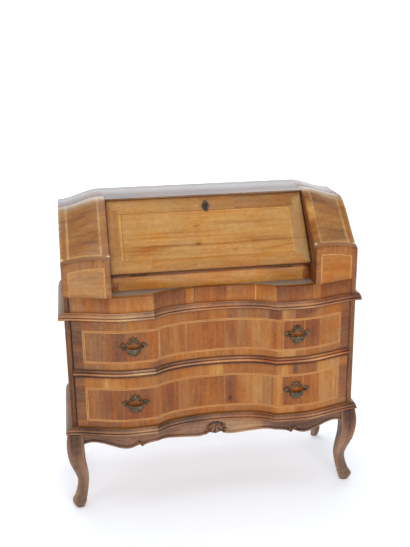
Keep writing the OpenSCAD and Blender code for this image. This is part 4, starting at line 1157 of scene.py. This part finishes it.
def make_leg(word, left, front):
    node = f"leg_{'front' if front else 'rear'}_{word}"
    rows = LEG_ROWS if front else REAR_ROWS
    rings, tones = [], []
    for i in range((len(rows) - 1) * LEG_FILL + 1):
        t = i / LEG_FILL
        ring, shade = [], []
        for j in range(LEG_COUNT):
            a = 2 * pi * j / LEG_COUNT
            x, y, z = leg_point(rows, t, a, not front)
            groove = -0.9 * hill((z, 40, 26)) * max(0, sin(6 * a + 1.2)) ** 2 if front else 0
            if front:
                middle = spline(rows, t, 1)
                away = Vector((x - middle, y - middle)).normalized()
                x, y = x + groove * away.x, y + groove * away.y
            ring.append((x, y, z))
            # Tone: lower in the grooves and where the notch at the knee is painted as shade, and lower on
            # the middle of each face than at its corners, so that the corners read lighter as painted
            # highlights.
            arris = abs(cos(2 * a)) ** 6
            notch = front * hill((z, 150, 9)) * max(0, cos(a + 2.36)) ** 4
            tone = 0.42 - 0.08 * ease((z - 150) / 70) + 0.07 * sin(z * 0.03 + 2 * a) - 0.12 * arris
            tone += 0.12 * groove - 0.1 * (z < 8) - 0.2 * notch
            shade.append((tone, -1.6 + 0.7 * ease(z / 220)))
        rings.append(stand_leg(ring, left, front))
        tones.append(shade)
    bm = bmesh.new()
    loft(bm, rings, lambda i, j: tones[i][j], 3 + 2 * left + front)
    hand_in(settle(bm, node + "_carved", [SOLID], 55), "case", "dark_walnut", node)


# Apron. A row of its edge is (share of the half length, drop below the case).

APRON_DROP = [
    (0.000, 47), (0.040, 42), (0.085, 50), (0.130, 52), (0.200, 49), (0.300, 42),
    (0.380, 34), (0.450, 30), (0.530, 34), (0.575, 41), (0.592, 34), (0.620, 40),
    (0.670, 46), (0.730, 44), (0.800, 36), (0.870, 29), (0.940, 28), (1.000, 36)]
APRON_END = span("apron_front", "x")[1]
APRON_EDGE = [(APRON_END * spline(APRON_DROP, i / 8, 0), STAND - spline(APRON_DROP, i / 8, 1))
              for i in range((len(APRON_DROP) - 1) * 8 + 1)]
APRON_LEVELS = (0, .01, .03, .06, .09, .12, .16, .2, .25, .31, .38, .46, .55, .64, .73, .82, .91, 1)
APRON_SCROLLS = ((237, 9, 250, 1.2, 8.0), (252, 8, -60, -1.0, 6.0), (30, 6, 200, 1.0, 5.0))
APRON_SPRAY = ((19, 5, 26, 15, 9), (22, -2, -8, 15, 9), (15, 10, 50, 9, 7), (20, -9, -34, 11, 7))
SHELL_X, SHELL_Z = 3.0, 236.0
SHELL_WIDE, SHELL_TALL, SHELL_OUT = 27, 20, 7.5
SHELL_HALF, SHELL_FIELD = 46, 70
APRON_THICK = 20


def apron_low(x):
    x = abs(x)
    for (a, p), (b, q) in zip(APRON_EDGE, APRON_EDGE[1:]):
        if x <= b:
            return p + (q - p) * (x - a) / max(b - a, 1e-6)
    return APRON_EDGE[-1][1]


def shell_reach(x, z):
    """Distance from the shell's middle, 1 on its outline."""
    return hypot((x - SHELL_X) / SHELL_WIDE, (z - SHELL_Z) / SHELL_TALL)


def carved_out(x, z):
    """How far the apron's carving stands out of its face: the bead along its edge with a
    hollow and a swell over it, and the fluted shell."""
    above = z - apron_low(x)
    bead = 2.6 * sqrt(max(0, 1 - ((above - 3.0) / 3.0) ** 2)) if above < 6 else 0
    rise = bead - 1.3 * hill((above, 8.5, 3)) + 1.2 * hill((above, 22, 12))
    reach = shell_reach(x, z)
    if reach < 1:
        flute = 0.5 + 0.5 * cos(9 * atan2(z - SHELL_Z - 14, x - SHELL_X))
        return max(0, SHELL_OUT * sqrt(1 - reach ** 2) * (0.3 + 0.7 * flute))
    if reach < 1.15:
        return max(rise, 0) - 2.2 * (1.15 - reach) / 0.15
    return rise


def turned_to(side, angle):
    """Angle as it is on the right, or its mirror on the left."""
    return angle if side > 0 else 180 - angle


def make_apron_carving():
    """Scrolls in the notches and the sprays of leaves beside the shell."""
    lines = []
    for side in (-1, 1):
        for out, above, start, turns, big in APRON_SCROLLS:
            x = side * out
            y = front_y(x) - 2.6
            turned = curl((x, apron_low(x) + above), start, turns, big, 1.4, 22, side)
            lines.append([((a, y, max(b, apron_low(a) + 1.4)), 1.3 - 0.5 * k / 22)
                          for k, (a, b) in enumerate(turned)])
    bm = bmesh.new()
    for side in (-1, 1):
        for out, up, angle, length, width in APRON_SPRAY:
            x = SHELL_X + side * out
            add_leaf(bm, (x, SHELL_Z + up), turned_to(side, angle), length, width, 4.0, front_y(x) - 1.6)
    parts = [swept("apron_scrolls", lines, 1.7, STAND_X, 10), settle(bm, "apron_sprays", [STAND_X], 60)]
    hand_in(join_as("apron_front_leaves", STAND_X, parts), "case", "dark_walnut")


def make_apron():
    xs = cut_lines([-APRON_END, -SHELL_HALF, SHELL_HALF, APRON_END], 4.0)
    xs = [x for x in xs if abs(x) > SHELL_HALF + 0.5] + steps(-SHELL_HALF, SHELL_HALF, SHELL_FIELD)
    xs = sorted(set(round(x, 4) for x in xs))
    rings = []
    for x in xs:
        low, y = apron_low(x), front_y(x)
        dx, dy = front_out(x)
        ring = []
        for share in APRON_LEVELS:
            z = low + (STAND - low) * share
            out = carved_out(x, z)
            ring.append((x + dx * out * (abs(x) < 410), y + dy * out, z))
        rear = y + APRON_THICK
        rings.append(ring + [(x, rear, STAND), (x, rear, low + 1.5), (x, y + 4, low)])

    def tone(i, j):
        if j >= len(APRON_LEVELS):
            return .34, -.4
        x, low = xs[i], apron_low(xs[i])
        above = (STAND - low) * APRON_LEVELS[j]
        z = low + above
        # Shell: lighter where its carving stands out and darker in its flutes, painted highlight and
        # painted shade.
        if shell_reach(x, z) < 1.1:
            return .04 + .07 * carved_out(x, z), -.9
        ends = min(1, max(0, (abs(x - 10) - 120) / 60))
        base = .465 + .05 * sin(0.02 * x) - .17 * ends - .05 * (x > 150)
        # Painted highlight on the edge bead, painted shade in the hollow above it and painted shade in the
        # notches.
        light = 0.20 * hill((above, 3, 3)) - 0.2 * hill((above, 8, 2.5))
        field = 0.10 * hill((x, 110, 60), (above, 16, 8))
        nook = 0.22 * hill((abs(x), 245, 9), (above, 0, 14))
        return base + light + field - nook, -.9
    bm = bmesh.new()
    loft(bm, rings, tone, 9)
    hand_in(settle(bm, "apron_front_carved", [SOLID], 60), "case", "dark_walnut", "apron_front")


# Beads, scrolls and wire work: one tree sweeps a round section along a drawn path

def sweep_tree():
    """The tree, and the names of its inputs' sockets on a modifier."""
    tree = bpy.data.node_groups.new("bead_along_path", "GeometryNodeTree")
    face = tree.interface
    face.new_socket(name="Path", in_out="INPUT", socket_type="NodeSocketGeometry")
    sockets = {}
    for label, kind in (("Section radius", "NodeSocketFloat"), ("Section sides", "NodeSocketInt"),
                        ("Finish", "NodeSocketMaterial")):
        sockets[label] = face.new_socket(name=label, in_out="INPUT", socket_type=kind).identifier
    face.new_socket(name="Bead", in_out="OUTPUT", socket_type="NodeSocketGeometry")
    given = tree.nodes.new("NodeGroupInput").outputs
    curve = add_node(tree, "GeometryNodeMeshToCurve", {"Mesh": given["Path"]})
    girth = add_node(tree, "GeometryNodeInputNamedAttribute", {"Name": "girth"}, data_type="FLOAT")
    fat = add_node(tree, "GeometryNodeSetCurveRadius", {
        "Curve": curve.outputs["Curve"], "Radius": girth.outputs["Attribute"]})
    ring = add_node(tree, "GeometryNodeCurvePrimitiveCircle", {
        "Resolution": given["Section sides"], "Radius": given["Section radius"]})
    body = add_node(tree, "GeometryNodeCurveToMesh", {
        "Curve": fat.outputs["Curve"], "Profile Curve": ring.outputs["Curve"], "Fill Caps": True})
    smooth = add_node(tree, "GeometryNodeSetShadeSmooth", {"Geometry": body.outputs["Mesh"]})
    real = add_node(tree, "GeometryNodeRealizeInstances", {"Geometry": smooth.outputs["Geometry"]})
    painted = add_node(tree, "GeometryNodeSetMaterial", {
        "Geometry": real.outputs["Geometry"], "Material": given["Finish"]})
    add_node(tree, "NodeGroupOutput", {"Bead": painted.outputs["Geometry"]})
    return tree, sockets


SWEEP, SWEEP_INPUTS = sweep_tree()


def swept(name, paths, radius, finish, sides=12):
    """Plain mesh of round work along paths, each a list of (place, girth) in millimetres."""
    points, edges, girths = [], [], []
    for path in paths:
        base = len(points)
        points += [tuple(c * MM for c in place) for place, _ in path]
        girths += [girth for _, girth in path]
        edges += [(base + k, base + k + 1) for k in range(len(path) - 1)]
    mesh = bpy.data.meshes.new(name)
    mesh.from_pydata(points, edges, [])
    mesh.attributes.new("girth", "FLOAT", "POINT").data.foreach_set("value", girths)
    piece = new_object(name, mesh)
    sweep = piece.modifiers.new("sweep", "NODES")
    sweep.node_group = SWEEP
    for label, value in (("Section radius", radius * MM), ("Section sides", sides), ("Finish", finish)):
        sweep[SWEEP_INPUTS[label]] = value
    make_plain(piece)
    return piece


def curl(centre, start, turns, first, last, count, flip=1):
    """Spiral in the XZ plane from radius first to last; flip mirrors it."""
    path = []
    for k in range(count + 1):
        t = k / count
        aside, up = polar(start + 360 * turns * t, first + (last - first) * t)
        path.append((centre[0] + flip * aside, centre[1] + up))
    return path


# Pulls. The bail's pivots are at the height of the plate's middle.

PLATE_Y = BACK - LOBE_DEPTH - SEAT
PIVOT_Y = PLATE_Y - 8.5
PULL_X, PULL_HEIGHTS = 253, {"upper": 558, "lower": 370}
CROWN_LEAVES = ((90, 18, 9.5, 13.5), (56, 18, 8.5, 12), (124, 18, 8.5, 12), (22, 15, 7.5, 11),
                (158, 15, 7.5, 11), (73, 12, 5, 14), (107, 12, 5, 14))
SIDE_LEAVES = ((4, 20, 13.5), (44, 15, 9.5), (-36, 14, 9))
PLATE_OVAL = (26, 15.5)
PLATE_CURLS = ((13, 13, 200, 0.9, 5.5), (31, -3, 120, 0.8, 4.6), (32, 8, -100, -0.8, 4.2))
LUG = ((PLATE_Y - 1, 1.7), ((PLATE_Y + PIVOT_Y) / 2, 1.4), (PIVOT_Y + 1, 1.9), (PIVOT_Y - 2.6, 1.6))
PIN_TURNING = ((17.5, 2.9), (19.5, 3.1), (20.6, 2.2), (21.4, 1.6), (28.2, 1.6), (28.7, 2.6), (30.2, 2.9),
               (31.4, 2.2), (31.8, 1.0))
BAIL_HALF, BAIL_DROP, BAIL_RINGS, BAIL_SIDES, PIN_SIDES = 18.5, 15.6, 40, 20, 14
SHIELD_MIDDLE, SHIELD_HALF, SHIELD_TALL, SHIELD_POINTS = 206, 11.5, 17.5, 60
PLATE_STEPS = ((0.0, 1.6), (0.30, 1.6), (0.62, 1.1), (0.80, 1.2), (0.88, 2.0), (0.95, 2.1), (1.0, 1.2),
               (1.0, 0.1))


def add_leaf(bm, base, angle, length, width, rise, y):
    """Domed leaf with a midrib, lying on the plate at y."""
    rows, columns = 10, 6
    c, d = polar(angle)
    grid = []
    for i in range(rows + 1):
        t = i / rows
        half = width / 2 * max(0.04, sin(pi * t ** 0.8)) ** 0.75
        row = []
        for j in range(columns + 1):
            s = 2 * j / columns - 1
            high = rise * (1 - s * s) ** 0.5 * (0.45 + 0.55 * sin(pi * min(1, t + 0.12)))
            high -= 0.35 * rise * hill((s, 0, 0.22))
            p, q = length * t, s * half
            row.append(bm.verts.new((base[0] + p * c - q * d, y - high, base[1] + p * d + q * c)))
        grid.append(row)
    flat = [[bm.verts.new((v.co.x, y + 0.8, v.co.z)) for v in row] for row in grid]
    for i in range(rows):
        for j in range(columns):
            bm.faces.new((grid[i][j], grid[i][j + 1], grid[i + 1][j + 1], grid[i + 1][j]))
            bm.faces.new((flat[i + 1][j], flat[i + 1][j + 1], flat[i][j + 1], flat[i][j]))
    for (i, j), (k, m) in ring_of(columns, rows):
        bm.faces.new((flat[i][j], flat[k][m], grid[k][m], grid[i][j]))


def make_pulls(level):
    """Two pierced plates with their lugs."""
    node, height = f"{level}_pull_plates", PULL_HEIGHTS[level]
    bm = bmesh.new()
    lines = []
    y = PLATE_Y - 1.6

    def bow(x, side, angle, depth, lift=0.0):
        """Place on the oval that frames the plate."""
        aside, up = polar(angle, *PLATE_OVAL)
        return x + side * aside, depth, height + up + lift

    for x in (-PULL_X, PULL_X):
        for angle, length, width, lift in CROWN_LEAVES:
            aside, up = polar(angle, 5, 2)
            add_leaf(bm, (x + aside, height + lift + up), angle, length, width, 2.4, y)
        for side in (-1, 1):
            for angle, length, width in SIDE_LEAVES:
                add_leaf(bm, (x + side * 23, height + 2), turned_to(side, angle), length, width, 2.0, y)
            arch = [bow(x, side, -18 + 9 * k, y - 0.6) for k in range(13)]
            lines.append([(p, 0.8 + 0.5 * sin(pi * k / 12)) for k, p in enumerate(arch)])
            for out, up, start, turns, big in PLATE_CURLS:
                turned = curl((x + side * out, height + up), start, turns, big, 1.2, 16, side)
                lines.append([((a, y - 0.8, b), 1.15 - 0.5 * k / 16) for k, (a, b) in enumerate(turned)])
            lines.append([(bow(x, side, a, y, 1), 0.9) for a in range(-90, -10, 8)])
            lines.append([((x + side * 25, deep, height), girth) for deep, girth in LUG])
    parts = [settle(bm, node + "_leaves", [BRONZE], 60), swept(node + "_scrolls", lines, 1.5, BRONZE, 10)]
    hand_in(join_as(node + "_cast", BRONZE, parts), f"{level}_drawer", "bronze", node)


def make_bail(level, word, x):
    """Hanging crescent with a turned pin at each end."""
    node, height = f"{level}_bail_{word}", PULL_HEIGHTS[level]
    bm = bmesh.new()
    rings = []
    for i in range(BAIL_RINGS + 1):
        a = pi * i / BAIL_RINGS
        tall = (2.0 + 10.0 * sin(a) ** 1.25) * (1 + 0.05 * cos(14 * a) * sin(a))
        thick = 1.9 + 2.1 * sin(a)
        ring = []
        for j in range(BAIL_SIDES):
            u, v = polar(360 * j / BAIL_SIDES, tall, thick)
            ring.append((x + (BAIL_HALF + u) * cos(a), PIVOT_Y + v, height - (BAIL_DROP + u) * sin(a)))
        rings.append(ring)
    loft(bm, rings)
    for end in (-1, 1):
        pin = []
        for out, radius in PIN_TURNING:
            circle = [polar(360 * j / PIN_SIDES, radius) for j in range(PIN_SIDES)]
            pin.append([(x + end * out, PIVOT_Y + p, height + q) for p, q in circle])
        loft(bm, pin)
    hand_in(settle(bm, node + "_cast", [WORN_BRONZE], 50), node, "bronze", node)


def make_escutcheon():
    """Shield with a raised rim and a keyhole."""
    bm = bmesh.new()
    rings = []
    for share, lift in PLATE_STEPS:
        size = max(share, 0.02)
        ring = []
        for k in range(SHIELD_POINTS):
            a = 2 * pi * k / SHIELD_POINTS
            c, s = cos(a), sin(a)
            x = SHIELD_HALF * c * (1 - 0.22 * s * s + 0.10 * cos(4 * a))
            z = SHIELD_TALL * (s + 0.12 * s * abs(s)) * (1 + 0.06 * cos(6 * a))
            ring.append(in_fall(size * x, SHIELD_MIDDLE + size * z, FALL_THICK + 0.1 + lift))
        rings.append(ring)
    loft(bm, rings)
    plate = settle(bm, "key_plate_cast", [KEY_BRONZE], 50)
    slot = (-1.6, 1.6, 198, KEY_AT, 12, 32)
    carve_out(plate, [fall_round(0, KEY_AT, 12, KEY_RADIUS, 20, "n"), fall_box(*slot)])
    soften(plate.data, 50)
    hand_in(plate, "fall", "bronze", "fall_escutcheon")


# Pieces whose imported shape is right: the edges are eased and the finish laid on

def dress(node, body, slot, finish, rim):
    bm = bmesh.new()
    bm.from_mesh(nodes[node].data)
    for vert in bm.verts:
        vert.co /= MM
    bmesh.ops.remove_doubles(bm, verts=bm.verts, dist=0.004)
    bmesh.ops.dissolve_limit(bm, angle_limit=radians(0.6), verts=bm.verts, edges=bm.edges)
    round_rim(bm, rim, 40)
    hand_in(settle(bm, node + "_eased", [finish]), body, slot, node)


def paint(node, finish):
    for place in nodes[node].material_slots:
        place.link = "OBJECT"
        place.material = finish


SIDES = (("left", -1), ("right", 1))
DRAWER_PARTS = (("side_left", PALE_Y), ("side_right", PALE_Y), ("back", PALE_X), ("bottom", PALE_X))
place_camera()
light_studio()
lay_floor()

for level, drawing in DRAWER_FRONTS.items():
    make_drawer_front(level, *drawing)
make_band()
for word, side in SIDES:
    make_cheek(word, side)
    make_slope(word, side)
make_fall()
for name, low, left_tone, right_tone, end in (("base_moulding", STAND, -.20, -.08, .16),
                                              ("waist_moulding", WAIST, .05, -.14, 0)):
    make_moulding(name + "_front_run", CASE_PROFILE, front_stations(HALF, 10, MOULD_OUT), low, MOULD_TALL,
                  name + "_front", len(name), left_tone, right_tone, 0.1, 0.5, end)
    make_side_mouldings(name + "_side_runs", low, name + "_sides")
make_moulding("mid_moulding_run", MID_PROFILE, front_stations(FRONT_HALF + 1, 8, 0), MID, 22,
              "mid_moulding", 7, -.22, -.13, .06, 1.0, .26)
for word, side in SIDES:
    make_leg(word, side < 0, True)
    make_leg(word, side < 0, False)
make_apron()
make_apron_carving()
make_leg_beads()
for level in PULL_HEIGHTS:
    make_pulls(level)
for level in PULL_HEIGHTS:
    for word, side in SIDES:
        make_bail(level, word, side * PULL_X)
make_escutcheon()

for boards, slot, finish, rim in (
        ("top_board", "walnut", TOP_WOOD, 1.5), ("fall_rail", "walnut", RAIL, 0.7),
        ("writing_bed", "walnut", INSIDE_X, 0.5), ("ledge_board", "walnut", LEDGE_X, 0.5),
        ("side_panel_left side_panel_right", "walnut", RUN_Z, 0.8),
        ("partition_left partition_right", "walnut", INSIDE_Y, 0.5),
        ("bottom_board", "walnut", RUN_X, 0.5), ("back_panel", "inner_wood", PALE_Z, 0.4),
        ("dust_board", "inner_wood", PALE_X, 0.4), ("kicker_rails", "inner_wood", PALE_Y, 0.4),
        ("apron_left apron_right", "dark_walnut", STAND_Y, 1.0),
        ("apron_rear", "dark_walnut", STAND_X, 1.0), ("gallery_shelf", "inner_wood", INSIDE_X, 0.5),
        ("gallery_dividers", "inner_wood", INSIDE_Z, 0.5)):
    for node in boards.split():
        dress(node, "case", slot, finish, rim)
for word, _ in SIDES:
    dress(f"loper_{word}", f"loper_{word}", "dark_walnut", RUN_Y, 1.0)
    dress(f"gallery_drawer_{word}", f"gallery_drawer_{word}", "golden_walnut", INSIDE_X, 0.5)
    paint(f"gallery_knob_{word}", BRASS)
for drawer in ("upper_drawer", "lower_drawer"):
    for part, finish in DRAWER_PARTS:
        dress(f"{drawer}_{part}", drawer, "inner_wood", finish, 0.5)
for node, finish in (("hinge_case_leaves", HINGE_BRASS), ("hinge_fall_leaves", HINGE_BRASS),
                     ("fall_lock", BRASS), ("lock_bolt", STEEL)):
    paint(node, finish)
